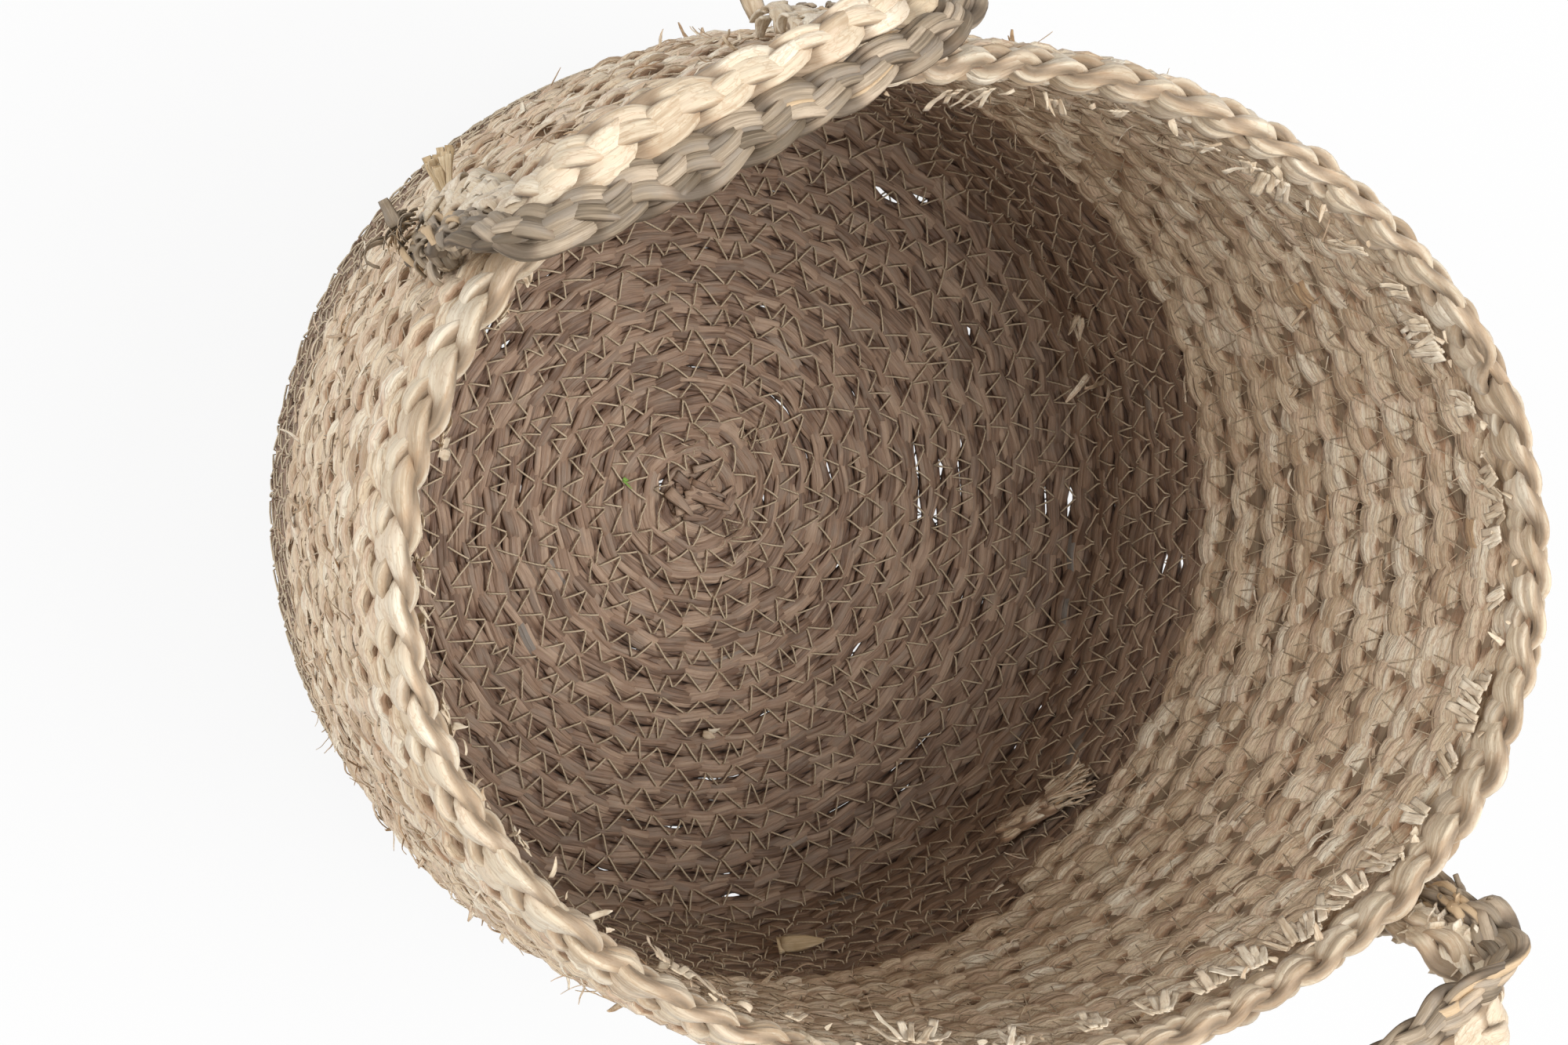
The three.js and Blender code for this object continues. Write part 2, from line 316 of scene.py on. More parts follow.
@dataclass
class Route:
    """A line that a plait follows, with the way across it and the way off its face."""

    centre: Array
    across: Array
    face: Array
    width: Array
    thickness: Array

    @classmethod
    def steady(cls, line: tuple[Array, Array, Array], width: float, thickness: float) -> "Route":
        """Make a route of one width and one thickness from its centre, way across and face."""
        size = np.ones(len(line[0]))
        return cls(*line, width * size, thickness * size)

    def even(self, step: float) -> "Route":
        """Sample the line again at even lengths.

        Args:
            step: The length between points.

        Returns:
            A new route with unit directions.
        """
        lengths = lengths_along(self.centre)
        wanted = np.linspace(0, lengths[-1], max(2, round(lengths[-1] / step) + 1))
        centre, across, face, width, thickness = (
            sampled(rows, lengths, wanted)
            for rows in (self.centre, self.across, self.face, self.width, self.thickness))
        return Route(centre, unit(across), unit(face), width, thickness)

    def softened(self, reach: int) -> "Route":
        """Round the corners of the line by averaging each point with its neighbours.

        Args:
            reach: The count of points on each side that count.

        Returns:
            A new route with the same count of points.
        """
        weights = np.hanning(2 * reach + 3)[1:-1]
        weights /= weights.sum()

        def smooth(rows: Array) -> Array:
            """Average one array, and carry its ends on in a straight line."""
            ends = 2 * rows[0] - rows[reach:0:-1], 2 * rows[-1] - rows[-2:-reach - 2:-1]
            return np.stack([np.convolve(column, weights, "valid")
                             for column in np.concatenate([ends[0], rows, ends[1]]).T], axis=-1)

        return Route(smooth(self.centre), unit(smooth(self.across)), unit(smooth(self.face)),
                     self.width, self.thickness)

    def shifted(self, place: float) -> "Route":
        """Move the line sideways by a distance across."""
        return Route(self.centre + self.across * place, self.across, self.face, self.width, self.thickness)


@dataclass
class Fibre:
    """A closed flattened tube: one leaf, husk or thread along its own line."""

    centre: Array
    normal: Array
    half_width: Array
    half_thickness: Array
    front_look: Array
    back_look: Array
    sides: int
    pleats: float = 0.0
    roundness: float = 0.66
    seed: int = 0
    edging: float = 1.0

    @classmethod
    def plain(cls, line: tuple[Array, Array], sizes: tuple[Array | float, Array | float],
              look: tuple[Array | float, float], sides: int, **others: float) -> "Fibre":
        """Make a fibre whose two faces look alike.

        Args:
            line: Its centre and the way off its face.
            sizes: Half its width and half its thickness.
            look: Its tone and how far up it lies.
            sides: The count of faces round it.
            others: Further fields by name.

        Returns:
            The fibre.
        """
        even = np.ones(len(line[0]))
        half_width, half_thickness, tone, depth = (value * even for value in (*sizes, *look))
        both = np.stack([tone, depth], axis=-1)
        return cls(*line, half_width, half_thickness, both, both, sides, **others)

    def ways(self) -> tuple[Array, Array]:
        """Find the ways that are square to the fibre's line.

        Returns:
            The way across the fibre and the way off its face at each point.
        """
        tangent = unit(np.gradient(self.centre, axis=0))
        normal = unit(self.normal - tangent * np.sum(self.normal * tangent, axis=1, keepdims=True))
        return np.cross(normal, tangent), normal


class FibreMesh:
    """Gathers fibres into one mesh, with what their finish needs to know at each point."""

    rolled: dict[tuple[int, int], bpy.types.Mesh] = {}
    pleat_waves: tuple[tuple[int, float], ...] = ((2, 0.009), (4, 0.012), (7, 0.015))

    def __init__(self, fibres: Iterable[Fibre]) -> None:
        """Gather some fibres.

        Args:
            fibres: The fibres.
        """
        self.gathered = bmesh.new()
        self.values: list[Array] = []
        for fibre in fibres:
            self.add(fibre)

    @classmethod
    def tube(cls, steps: int, sides: int) -> bpy.types.Mesh:
        """Roll a grid into a closed straight tube of radius one from x = -1 to x = 1.

        Args:
            steps: The count of lengths along the tube.
            sides: The count of faces round it.

        Returns:
            A mesh that later calls share.
        """
        if (steps, sides) not in cls.rolled:
            sheet = bmesh.new()
            bmesh.ops.create_grid(sheet, x_segments=steps, y_segments=sides, size=1)
            for vertex in sheet.verts:
                angle = (vertex.co.y + 1) * math.pi
                vertex.co = vertex.co.x, math.cos(angle), math.sin(angle)
            sheet.normal_update()
            bmesh.ops.remove_doubles(sheet, verts=sheet.verts, dist=0.3 / max(steps, sides, 12))
            bmesh.ops.holes_fill(sheet, edges=[edge for edge in sheet.edges if edge.is_boundary])
            bmesh.ops.recalc_face_normals(sheet, faces=sheet.faces)
            cls.rolled[steps, sides] = bpy.data.meshes.new("tube")
            sheet.to_mesh(cls.rolled[steps, sides])
            sheet.free()
        return cls.rolled[steps, sides]

    def add(self, fibre: Fibre) -> None:
        """Bend a straight tube along a fibre's line and gather it.

        Args:
            fibre: The fibre to add.
        """
        steps = len(fibre.centre) - 1
        mesh = self.tube(steps, fibre.sides).copy()
        straight = np.empty(len(mesh.vertices) * 3)
        mesh.vertices.foreach_get("co", straight)
        along_way, round_way, off_way = straight.reshape(-1, 3).T
        ring = np.rint((along_way + 1) / 2 * steps).astype(int)
        across, normal = fibre.ways()
        lengths = lengths_along(fibre.centre)
        swell = np.ones(len(ring))
        if fibre.pleats:
            angle = np.arctan2(off_way, round_way)
            uneven = Unevenness(fibre.seed)
            for waves, spacing in self.pleat_waves:
                drift = 3 * uneven.along(lengths, spacing)
                swell += fibre.pleats * np.sin(waves * angle + drift[ring]) / math.sqrt(waves)
        wide, high = (np.sign(way) * np.abs(way) ** fibre.roundness * half[ring] for way, half in
                      ((round_way, fibre.half_width), (off_way, fibre.half_thickness)))
        points = moved(fibre.centre[ring], (across[ring], wide * (0.5 + 0.5 * swell)),
                       (normal[ring], high * swell))
        mesh.vertices.foreach_set("co", points.ravel())
        self.gathered.from_mesh(mesh)
        bpy.data.meshes.remove(mesh)
        grain = np.stack([lengths[ring] / MM + 37.0 * (fibre.seed % 101),
                          wide / MM + 11.0 * (fibre.seed % 53), high / MM], axis=-1)
        front = eased(off_way, -0.5, 0.5)[:, None]
        look = fibre.front_look[ring] * front + fibre.back_look[ring] * (1 - front)
        edge = fibre.edging * np.abs(round_way)[:, None] ** 3
        self.values.append(np.concatenate([grain, look[:, :1], edge, look[:, 1:]], axis=1))

    def piece(self, name: str, material: bpy.types.Material) -> bpy.types.Object:
        """Make an object of all that was gathered.

        Args:
            name: The piece's name.
            material: Its finish.

        Returns:
            The object, at the origin and linked to the scene.
        """
        mesh = bpy.data.meshes.new(name)
        self.gathered.to_mesh(mesh)
        self.gathered.free()
        values = np.concatenate(self.values)
        for label, columns in (("grain", values[:, :3]), ("look", values[:, 3:])):
            attribute = mesh.attributes.new(label, "FLOAT_VECTOR", "POINT")
            attribute.data.foreach_set("vector", columns.ravel())
        mesh.shade_smooth()
        mesh.materials.append(material)
        return linked(name, mesh)


@dataclass(frozen=True)
class Leaf:
    """One leaf of a strand: its place across it, its shares of the width and thickness, its lift."""

    place: float
    width: float
    thickness: float = 1.0
    lift: float = 0.0


@dataclass(frozen=True)
class Plait:
    """A flat plait of three strands, each of one or more leaves.

    The strands swing from edge to edge, and each passes over the next on its way out. Widths and
    thicknesses are shares of the route's.
    """

    period: float
    strand_width: float
    strand_thickness: float
    leaves: tuple[Leaf, ...]
    steps: int
    sides: int
    fill: float = 1.0
    lean: float = math.radians(18)
    pleats: float = 0.05
    uneven: float = 0.12
    drift: float = 0.30
    shared_tone: float = 0.5
    steady_tone: float = 0.0
    relief: float = 1.0
    taper: float = 0.0
    pinch: float = 0.0
    pinch_from: float = 0.62
    pinch_ramp: float = 0.25
    pinch_spacing: float = 0.009
    # The core's tone and depth; its low depth darkens it with the finish's painted shade.
    core_look: tuple[float, float] = (0.35, 0.42)
    seed: int = 1

    @property
    def step(self) -> float:
        """Length between the points of a strand."""
        return self.period / self.steps

    def pinched(self, lengths: Array) -> Array:
        """Find where the plait is pulled narrow, from 0 to 1, which leaves a slit beside it."""
        uneven = Unevenness(self.seed + 900).along(lengths, self.pinch_spacing)
        return eased(uneven, self.pinch_from, self.pinch_from + self.pinch_ramp)

    def look(self, phase: Array, shown: Array, steady: float, shared: Random, own: Random) -> Array:
        """Give each point of one face the tone of its visible stretch, and how far up it lies.

        Args:
            phase: Where the strand is in its swing, counted from where a stretch comes up.
            shown: From -1 for a point that lies under to 1 for a point that lies over.
            steady: The leaf's own tone.
            shared: Random numbers that the strand's leaves share.
            own: Random numbers of one leaf.

        Returns:
            Tone and depth for each point.
        """
        stretch = np.floor(phase / math.pi).astype(int)
        stretch -= stretch.min()
        together, alone = (random.uniform(0, 1, stretch.max() + 1)[stretch] for random in (shared, own))
        tone = self.shared_tone * together + (1 - self.shared_tone) * alone
        tone = self.steady_tone * steady + (1 - self.steady_tone) * tone
        return np.stack([tone, 0.5 + 0.5 * shown], axis=-1)

    def strand(self, route: Route, index: int) -> Iterator[Fibre]:
        """Lay one strand along a route.

        Args:
            route: The plait's line, at even lengths.
            index: Which of the three strands.

        Yields:
            One fibre for each leaf.
        """
        lengths, uneven = lengths_along(route.centre), self.uneven
        shared = Unevenness(self.seed)
        drift = self.drift * shared.along(lengths, self.period * 1.4)
        phase = FULL_TURN * (lengths / self.period + index / 3) + drift
        breadth = route.width * self.fill * shared.factor(lengths, self.period, 0.5 * uneven)
        breadth = breadth * (1 - self.pinch * self.pinched(lengths))
        own = Unevenness(self.seed * 7 + index + 1)
        over = np.sin(2 * phase)
        half_width = 0.5 * self.strand_width * breadth * own.factor(lengths, self.period * 0.4, uneven)
        half_width = half_width * (1 - self.taper * (1 - over * over))
        half_thickness = (0.5 * self.strand_thickness * route.thickness
                          * own.factor(lengths, self.period * 0.5, 0.5 * uneven))
        swing = 0.5 * breadth * (1 - self.strand_width)
        lift = 0.5 * route.thickness * (1 - self.strand_thickness) * self.relief
        centre = moved(route.centre, (route.across, swing * np.sin(phase)), (route.face, lift * over))
        tilt = (self.lean * np.cos(phase))[:, None]
        normal = route.face * np.cos(tilt) + route.across * np.sin(tilt)
        for number, leaf in enumerate(self.leaves):
            seed = self.seed * 31 + index * 7 + number + 1
            leafy = Unevenness(seed)
            shift = leaf.place + 0.15 * leafy.along(lengths, self.period * 0.5)
            size = leaf.width * leafy.factor(lengths, self.period * 0.35, uneven)
            together = np.random.default_rng(self.seed * 13 + index)
            steady = leafy.random.uniform(0, 1)
            front = self.look(phase + math.pi / 6, over, steady, together, leafy.random)
            back = self.look(phase - math.pi / 3, -over, steady, together, leafy.random)
            fibre = Fibre(centre, normal, half_width * size, half_thickness * leaf.thickness,
                          front, back, self.sides, self.pleats, seed=seed)
            across, square = fibre.ways()
            fibre.centre = moved(centre, (across, shift * half_width), (square, leaf.lift * half_thickness))
            yield fibre

    def strands(self, route: Route) -> Iterator[Fibre]:
        """Lay all three strands along a route, leaf by leaf."""
        return (fibre for index in range(3) for fibre in self.strand(route, index))

    def core(self, route: Route, share: float, flare: float = 0.0, depth: float = 0.22) -> Fibre:
        """Lay the hidden leaves in the middle of the plait, which close it behind the strands.

        Args:
            route: The plait's line, at even lengths.
            share: How wide they are as a share of the route's width.
            flare: How much wider they are where the plait starts.
            depth: Half their thickness as a share of the route's.

        Returns:
            One flat fibre.
        """
        lengths = lengths_along(route.centre)
        width = 0.5 * share * route.width * (1 - 2.4 * self.pinch * self.pinched(lengths))
        width = width * (1 + flare * np.exp(-lengths / (2 * self.period)))
        return Fibre.plain((route.centre, route.face), (width, depth * route.thickness),
                           self.core_look, 6, seed=self.seed + 50)


class Value:
    """A number that varies over a surface. Arithmetic on it adds the nodes that work it out."""

    def __init__(self, nodes: "NodeMaker", socket: Socket) -> None:
        """Wrap the output socket of one of a maker's nodes."""
        self.nodes, self.socket = nodes, socket

    def _math(self, operation: str, *terms: "Value | float") -> "Value":
        """Add one Math node with its inputs in order."""
        made = self.nodes.node("ShaderNodeMath", dict(enumerate(terms)), operation=operation)
        return Value(self.nodes, made.outputs[0])

    def __add__(self, other: "Value | float") -> "Value":
        """Add."""
        return self._math("ADD", self, other)

    def __sub__(self, other: "Value | float") -> "Value":
        """Subtract."""
        return self._math("SUBTRACT", self, other)

    def __rsub__(self, other: float) -> "Value":
        """Subtract from a number."""
        return self._math("SUBTRACT", other, self)

    def __mul__(self, other: "Value | float") -> "Value":
        """Multiply."""
        return self._math("MULTIPLY", self, other)

    def sine(self) -> "Value":
        """Take the sine."""
        return self._math("SINE", self)

    def eased(self, low: float, high: float) -> "Value":
        """Ease from 0 to 1 while the number goes from low to high."""
        made = self.nodes.node("ShaderNodeMapRange", {"Value": self, "From Min": low, "From Max": high},
                               interpolation_type="SMOOTHSTEP")
        return Value(self.nodes, made.outputs[0])

    __radd__ = __add__
    __rmul__ = __mul__


class NodeMaker:
    """Makes the nodes of one material, or of the world."""

    def __init__(self, owner: bpy.types.Material | bpy.types.World) -> None:
        """Start with an empty node tree.

        Args:
            owner: The material or world that the nodes belong to.
        """
        owner.use_nodes = True
        self.owner = owner
        self.tree = owner.node_tree
        self.tree.nodes.clear()

    def node(self, kind: str, inputs: dict[int | str, object], **settings: object) -> bpy.types.Node:
        """Make one node.

        Args:
            kind: Blender's name of the node type.
            inputs: A value, a colour, or a socket to link, for each input by name or place.
            settings: The node's own settings, which are set first.

        Returns:
            The node.
        """
        made = self.tree.nodes.new(kind)
        for key, value in settings.items():
            setattr(made, key, value)
        for key, value in inputs.items():
            value = getattr(value, "socket", value)
            if isinstance(value, Socket):
                self.tree.links.new(value, made.inputs[key])
            else:
                colour = made.inputs[key].type == "RGBA"
                made.inputs[key].default_value = (*value, 1.0) if colour else value
        return made

    def attribute(self, name: str) -> Socket:
        """Read one of the piece's own vectors."""
        return self.node("ShaderNodeAttribute", {}, attribute_name=name).outputs["Vector"]

    def parts(self, vector: Socket) -> tuple[Value, Value, Value]:
        """Split a vector into its three numbers."""
        made = self.node("ShaderNodeSeparateXYZ", {0: vector})
        return tuple(Value(self, output) for output in made.outputs)

    def seen(self) -> Value:
        """Tell what the camera sees itself from what only lights the scene."""
        return Value(self, self.node("ShaderNodeLightPath", {}).outputs["Is Camera Ray"])

    def noise(self, vector: Socket, scale: Triple, detail: float = 2.0) -> Value:
        """Make a noise about one half that is stretched differently each way.

        Args:
            vector: Where to read it.
            scale: The scale along each way.
            detail: How many finer layers it has.

        Returns:
            The noise.
        """
        stretched = self.node("ShaderNodeVectorMath", {0: vector, 1: scale}, operation="MULTIPLY")
        made = self.node("ShaderNodeTexNoise",
                         {"Vector": stretched.outputs[0], "Scale": 1.0, "Detail": detail})
        return Value(self, made.outputs["Fac"])

    def mixed(self, share: Value | float, first: Triple | Socket, second: Triple | Socket) -> Socket:
        """Mix two colours by the share of the second."""
        return self.node("ShaderNodeMix", {0: share, 6: first, 7: second}, data_type="RGBA").outputs[2]

    def finish(self, colour: Triple | Socket, roughness: Value | float, height: Value, bump: float,
               sheen: float) -> bpy.types.Material:
        """Close the material with its shader.

        Args:
            colour: The base colour.
            roughness: The roughness.
            height: The height of fine relief in millimetres.
            bump: How strongly the relief shows.
            sheen: How much soft sheen it has.

        Returns:
            The material.
        """
        relief = self.node("ShaderNodeBump", {"Strength": bump, "Distance": MM, "Height": height})
        shader = self.node("ShaderNodeBsdfPrincipled", {
            "Base Color": colour, "Roughness": roughness, "Sheen Weight": sheen, "Sheen Roughness": 0.5,
            "Specular IOR Level": 0.35, "Normal": relief.outputs[0]})
        self.node("ShaderNodeOutputMaterial", {"Surface": shader.outputs[0]})
        return self.owner


@dataclass(frozen=True)
class LeafFinish:
    """Dry leaf or husk, with streaks along it, brown edges, a tone for each lobe, and painted shade where it
    lies under, along its sides and in its creases.
    """

    name: str
    dark: Triple
    middle: Triple
    pale: Triple
    # Brown of the leaf edges, also used as the colour of painted shade under strands and in creases.
    edge: Triple
    odd: Triple
    cool: Triple
    odd_from: float = 0.9
    brown_and_under_shade_share: float = 0.6
    # Painted shade: how much darker a point is where its strand lies under a neighbour (low depth).
    recess_shade: float = 0.55
    # Painted shade: how much darker the sides of each fibre are, where it turns under.
    side_shade: float = 0.15
    contrast: float = 0.5
    streak: float = 1.6
    roughness: float = 0.6
    bump: float = 0.5
    sheen: float = 0.1
    crumple: float = 0.0
    # Painted shade: how dark the thin lines along the creases are.
    crease_shade: float = 0.15

    def material(self) -> bpy.types.Material:
        """Make the material.

        Returns:
            A material that reads the piece's grain and look attributes.
        """
        nodes = NodeMaker(bpy.data.materials.new(self.name))
        grain = nodes.attribute("grain")
        tone, edge, depth = nodes.parts(nodes.attribute("look"))
        streaks = nodes.noise(grain, (0.07, self.streak, self.streak), 3.0)
        fine = nodes.noise(grain, (0.25, 3.0 * self.streak, 3.0 * self.streak))
        blotch = nodes.noise(grain, (0.13, 0.30, 0.30))
        light = (tone - 0.5) * self.contrast + streaks * 0.7 + fine * 0.25 + blotch * 0.35 - 0.15
        colour = nodes.mixed(light.eased(0.2, 0.5), self.dark, self.middle)
        colour = nodes.mixed(light.eased(0.5, 0.8), colour, self.pale)
        patch = nodes.noise(grain, (0.10, 0.25, 0.25)).eased(0.48, 0.66)
        colour = nodes.mixed(patch * 0.6, colour, self.cool)
        # Brown leaf edges and blotches, mixed with painted shade where a strand lies under (low depth).
        brown_edge_and_under_shade = ((1 - depth) * 0.7 + edge * 0.25 + blotch - 0.72).eased(0.0, 0.35) * self.brown_and_under_shade_share
        colour = nodes.mixed(brown_edge_and_under_shade, colour, self.edge)
        colour = nodes.mixed(tone.eased(self.odd_from, self.odd_from + 0.03), colour, self.odd)
        creases = nodes.noise(grain, (0.22, 0.55, 0.55), 3.0)
        offset = creases - 0.5
        # Painted shade: thin dark lines along the creases of the crumple relief.
        crease_shade = 1 - (offset * offset).eased(0.0, 0.0011)
        colour = nodes.mixed(crease_shade * self.crease_shade, colour, self.edge)
        # Painted shade: darken towards a third of the dark colour under neighbouring strands and along fibre
        # sides.
        unshaded = 1 - (1 - depth.eased(0.15, 0.65)) * self.recess_shade - edge.eased(0.55, 1.0) * self.side_shade
        shaded = nodes.mixed(unshaded, tuple(0.3 * part for part in self.dark), colour)
        relief = streaks * 0.5 + fine * 0.2 + creases * self.crumple
        return nodes.finish(shaded, self.roughness + (0.5 - fine) * 0.3, relief, self.bump, self.sheen)


@dataclass(frozen=True)
class ThreadFinish:
    """Twisted sewing thread."""

    name: str = "thread_finish"
    dark: Triple = (0.27, 0.195, 0.12)
    pale: Triple = (0.6, 0.49, 0.345)

    def material(self) -> bpy.types.Material:
        """Make the material.

        Returns:
            A material with fine slanting plies.
        """
        nodes = NodeMaker(bpy.data.materials.new(self.name))
        grain = nodes.attribute("grain")
        tone = nodes.parts(nodes.attribute("look"))[0]
        length, place, _ = nodes.parts(grain)
        plies = (length * 5.0 + place * 7.0).sine() * 0.5 + 0.5
        worn = nodes.noise(grain, (0.3, 1.0, 1.0), 1.0)
        share = (plies * 0.3 + worn * 0.4 + tone * 0.6 - 0.2).eased(0.0, 0.9)
        colour = nodes.mixed(share, self.dark, self.pale)
        return nodes.finish(colour, roughness=0.65, height=plies * 0.12, bump=0.4, sheen=0.1)


class Finish(Enum):
    """The finishes that the basket's pieces have."""

    RUSH = LeafFinish("rush_finish", dark=(0.145, 0.087, 0.056), middle=(0.285, 0.184, 0.123),
                      pale=(0.415, 0.292, 0.205), edge=(0.165, 0.083, 0.05), odd=(0.215, 0.19, 0.165),
                      cool=(0.265, 0.2, 0.15), odd_from=0.95, recess_shade=0.46, side_shade=0.46, contrast=0.6,
                      streak=1.4, roughness=0.5, bump=0.8, sheen=0.05)
    HUSK = LeafFinish("husk_finish", dark=(0.47, 0.335, 0.212), middle=(0.74, 0.592, 0.415),
                      pale=(0.88, 0.785, 0.62), edge=(0.4, 0.22, 0.12), odd=(0.55, 0.37, 0.212),
                      cool=(0.69, 0.505, 0.362), odd_from=0.93, brown_and_under_shade_share=0.85, recess_shade=0.52,
                      side_shade=0.38, contrast=0.65, bump=1.0, crumple=2.0, crease_shade=0.42)
    SHADED_HUSK = LeafFinish("shaded_husk_finish", dark=(0.24, 0.172, 0.105), middle=(0.39, 0.29, 0.185),
                             pale=(0.52, 0.405, 0.27), edge=(0.26, 0.16, 0.095),
                             odd=(0.4, 0.29, 0.19), cool=(0.34, 0.275, 0.18), bump=0.8)
    RIM = LeafFinish("rim_finish", dark=(0.43, 0.32, 0.21), middle=(0.625, 0.522, 0.382),
                     pale=(0.735, 0.652, 0.52), edge=(0.4, 0.255, 0.145), odd=(0.59, 0.465, 0.315),
                     cool=(0.625, 0.5, 0.37), odd_from=0.95, brown_and_under_shade_share=0.65, recess_shade=0.52,
                     side_shade=0.32, contrast=0.6, streak=1.1, crumple=1.1, crease_shade=0.35)
    GRASS = LeafFinish("grass_finish", dark=(0.135, 0.101, 0.066), middle=(0.284, 0.221, 0.152),
                       pale=(0.47, 0.374, 0.272), edge=(0.235, 0.15, 0.09), odd=(0.54, 0.392, 0.24),
                       cool=(0.262, 0.222, 0.18), odd_from=0.8, brown_and_under_shade_share=0.4, recess_shade=0.6,
                       side_shade=0.55, contrast=0.95, sheen=0.0)
    PAPER = LeafFinish("papery_husk_finish", dark=(0.48, 0.345, 0.19), middle=(0.68, 0.53, 0.335),
                       pale=(0.79, 0.66, 0.46), edge=(0.46, 0.29, 0.15), odd=(0.56, 0.4, 0.22),
                       cool=(0.68, 0.54, 0.35), recess_shade=0.3, streak=2.0)
    LEAF_GREEN = LeafFinish("green_leaf_finish", dark=(0.14, 0.26, 0.04), middle=(0.24, 0.42, 0.08),
                            pale=(0.38, 0.56, 0.16), edge=(0.3, 0.36, 0.1), odd=(0.3, 0.4, 0.1),
                            cool=(0.28, 0.46, 0.1), recess_shade=0.2)
    THREAD = ThreadFinish()


@dataclass
class Basket:
    """What every sub-assembly shares: the skin and the materials made so far."""

    skin: Skin = field(default_factory=Skin)
    materials: dict[Finish, bpy.types.Material] = field(default_factory=dict)

    def close(self, fibres: Iterable[Fibre], name: str, finish: Finish, slot: str,
              replaced: Sequence[str] = (), still: bool = True) -> bpy.types.Object:
        """Make a piece of fibres, and hide the nodes that it stands for.

        Args:
            fibres: The fibres.
            name: The piece's name.
            finish: Its finish.
            slot: Not used.
            replaced: The nodes that it stands for.
            still: Whether it stays with the basket when a handle turns.

        Returns:
            The piece.
        """
        if finish not in self.materials:
            self.materials[finish] = finish.value.material()
        piece = FibreMesh(fibres).piece(name, self.materials[finish])
        if replaced:
            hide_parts(*replaced)
        if still:
            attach(piece, "basket")
        LOG.info("%s: %d triangles", name, sum(len(face.vertices) - 2 for face in piece.data.polygons))
        return piece


@dataclass
class SubAssembly:
    """A group of pieces on the basket."""

    basket: Basket

    @property
    def skin(self) -> Skin:
        """The basket's skin."""
        return self.basket.skin


@dataclass
class WoundCoil(SubAssembly):
    """A plait that is wound in rows, from one count of turns to another."""

    node: str
    first_turn: float
    last_turn: float
    thickness: float
    plait: Plait
    finish: Finish
    slot: str
    core_share: float = 1.12
    core_flare: float = 0.0
    core_finish: Finish = Finish.RUSH
    core_step: float = 0.003
    turn_points: int = 360
    least_width: float = 0.0015

    def route(self) -> Route:
        """Follow the rows.

        Returns:
            The coil's route at even lengths.
        """
        skin = self.skin
        turns = np.linspace(self.first_turn, self.last_turn,
                            int((self.last_turn - self.first_turn) * self.turn_points))
        lower = skin.row_edge(turns)
        upper = np.minimum(skin.row_edge(turns + 1), skin.wall_top_reach)
        width = np.maximum(upper - lower - skin.row_gap, self.least_width)
        return Route(*skin.surface((lower + upper) / 2, turns), width,
                     np.minimum(self.thickness, width)).even(self.plait.step)

    def build(self) -> None:
        """Make the three strands, and the core that closes the wall behind them."""
        route = self.route()
        for index in range(3):
            self.basket.close(self.plait.strand(route, index), f"{self.node}_strand_{index + 1}",
                              self.finish, self.slot, [self.node])
        core = self.plait.core(route.even(self.core_step), self.core_share, self.core_flare)
        self.basket.close([core], f"{self.node}_core", self.core_finish, self.slot, [self.node])


@dataclass
class Rim(SubAssembly):
    """The thick plait round the mouth, whose ends meet at a seam, and the leaves under it."""

    seam_turn: float = math.radians(-55)
    roll: float = math.radians(14)
    points: int = 1440
    plait: Plait = Plait(period=0.042, strand_width=0.60, strand_thickness=0.50,
                         leaves=(Leaf(-0.30, 0.72, 0.75), Leaf(0.42, 0.56, 0.7, 0.24)),
                         steps=34, sides=16, fill=1.08, pleats=0.16, uneven=0.36, drift=0.5,
                         shared_tone=0.45, relief=0.7, taper=0.08, seed=5)
    under: Plait = Plait(period=0.036, strand_width=0.60, strand_thickness=0.60,
                         leaves=(Leaf(-0.34, 0.66, 0.85), Leaf(0.36, 0.62, 0.8, 0.22)),
                         steps=16, sides=10, fill=1.15, pleats=0.16, uneven=0.36, shared_tone=0.3, seed=6)
    under_drop: float = 0.0095
    under_width: float = 0.0115
    under_thickness: float = 0.0100
    core_step: float = 0.004

    def route(self) -> Route:
        """Go round the mouth once.

        Returns:
            The rim's route at even lengths.
        """
        skin = self.skin
        gap = skin.seat / skin.foot_radius
        turn = np.linspace(self.seam_turn, self.seam_turn + FULL_TURN - gap, self.points)
        reach = skin.foot_reach + skin.rim_mid - skin.foot_height
        radius = skin.meridian(np.full_like(turn, reach))[0] * skin.chord_share
        point = skin.on_oval(radius, np.full_like(turn, skin.rim_mid), turn)
        out = unit(point * LEVEL)
        across = UP * math.cos(self.roll) - out * math.sin(self.roll)
        face = out * math.cos(self.roll) + UP * math.sin(self.roll)
        return Route.steady((point, across, face), skin.rim_height, skin.rim_thickness).even(self.plait.step)

    def build(self) -> None:
        """Make the three strands, and one piece of the plait under them and their core."""
        route = self.route()
        for index in range(3):
            self.basket.close(self.plait.strand(route, index), f"rim_strand_{index + 1}", Finish.RIM,
                              "husk", ["rim_plait"])
        lower = route.shifted(-self.under_drop).even(self.under.step)
        lower = Route.steady((lower.centre, lower.across, lower.face), self.under_width, self.under_thickness)
        core = self.plait.core(route.even(self.core_step), 0.6, depth=0.08)
        self.basket.close([*self.under.strands(lower), core], "rim_under_leaves", Finish.HUSK, "husk",
                          ["rim_plait"])


class Face(Enum):
    """The two faces of the wound wall."""

    INNER = 1
    OUTER = -1


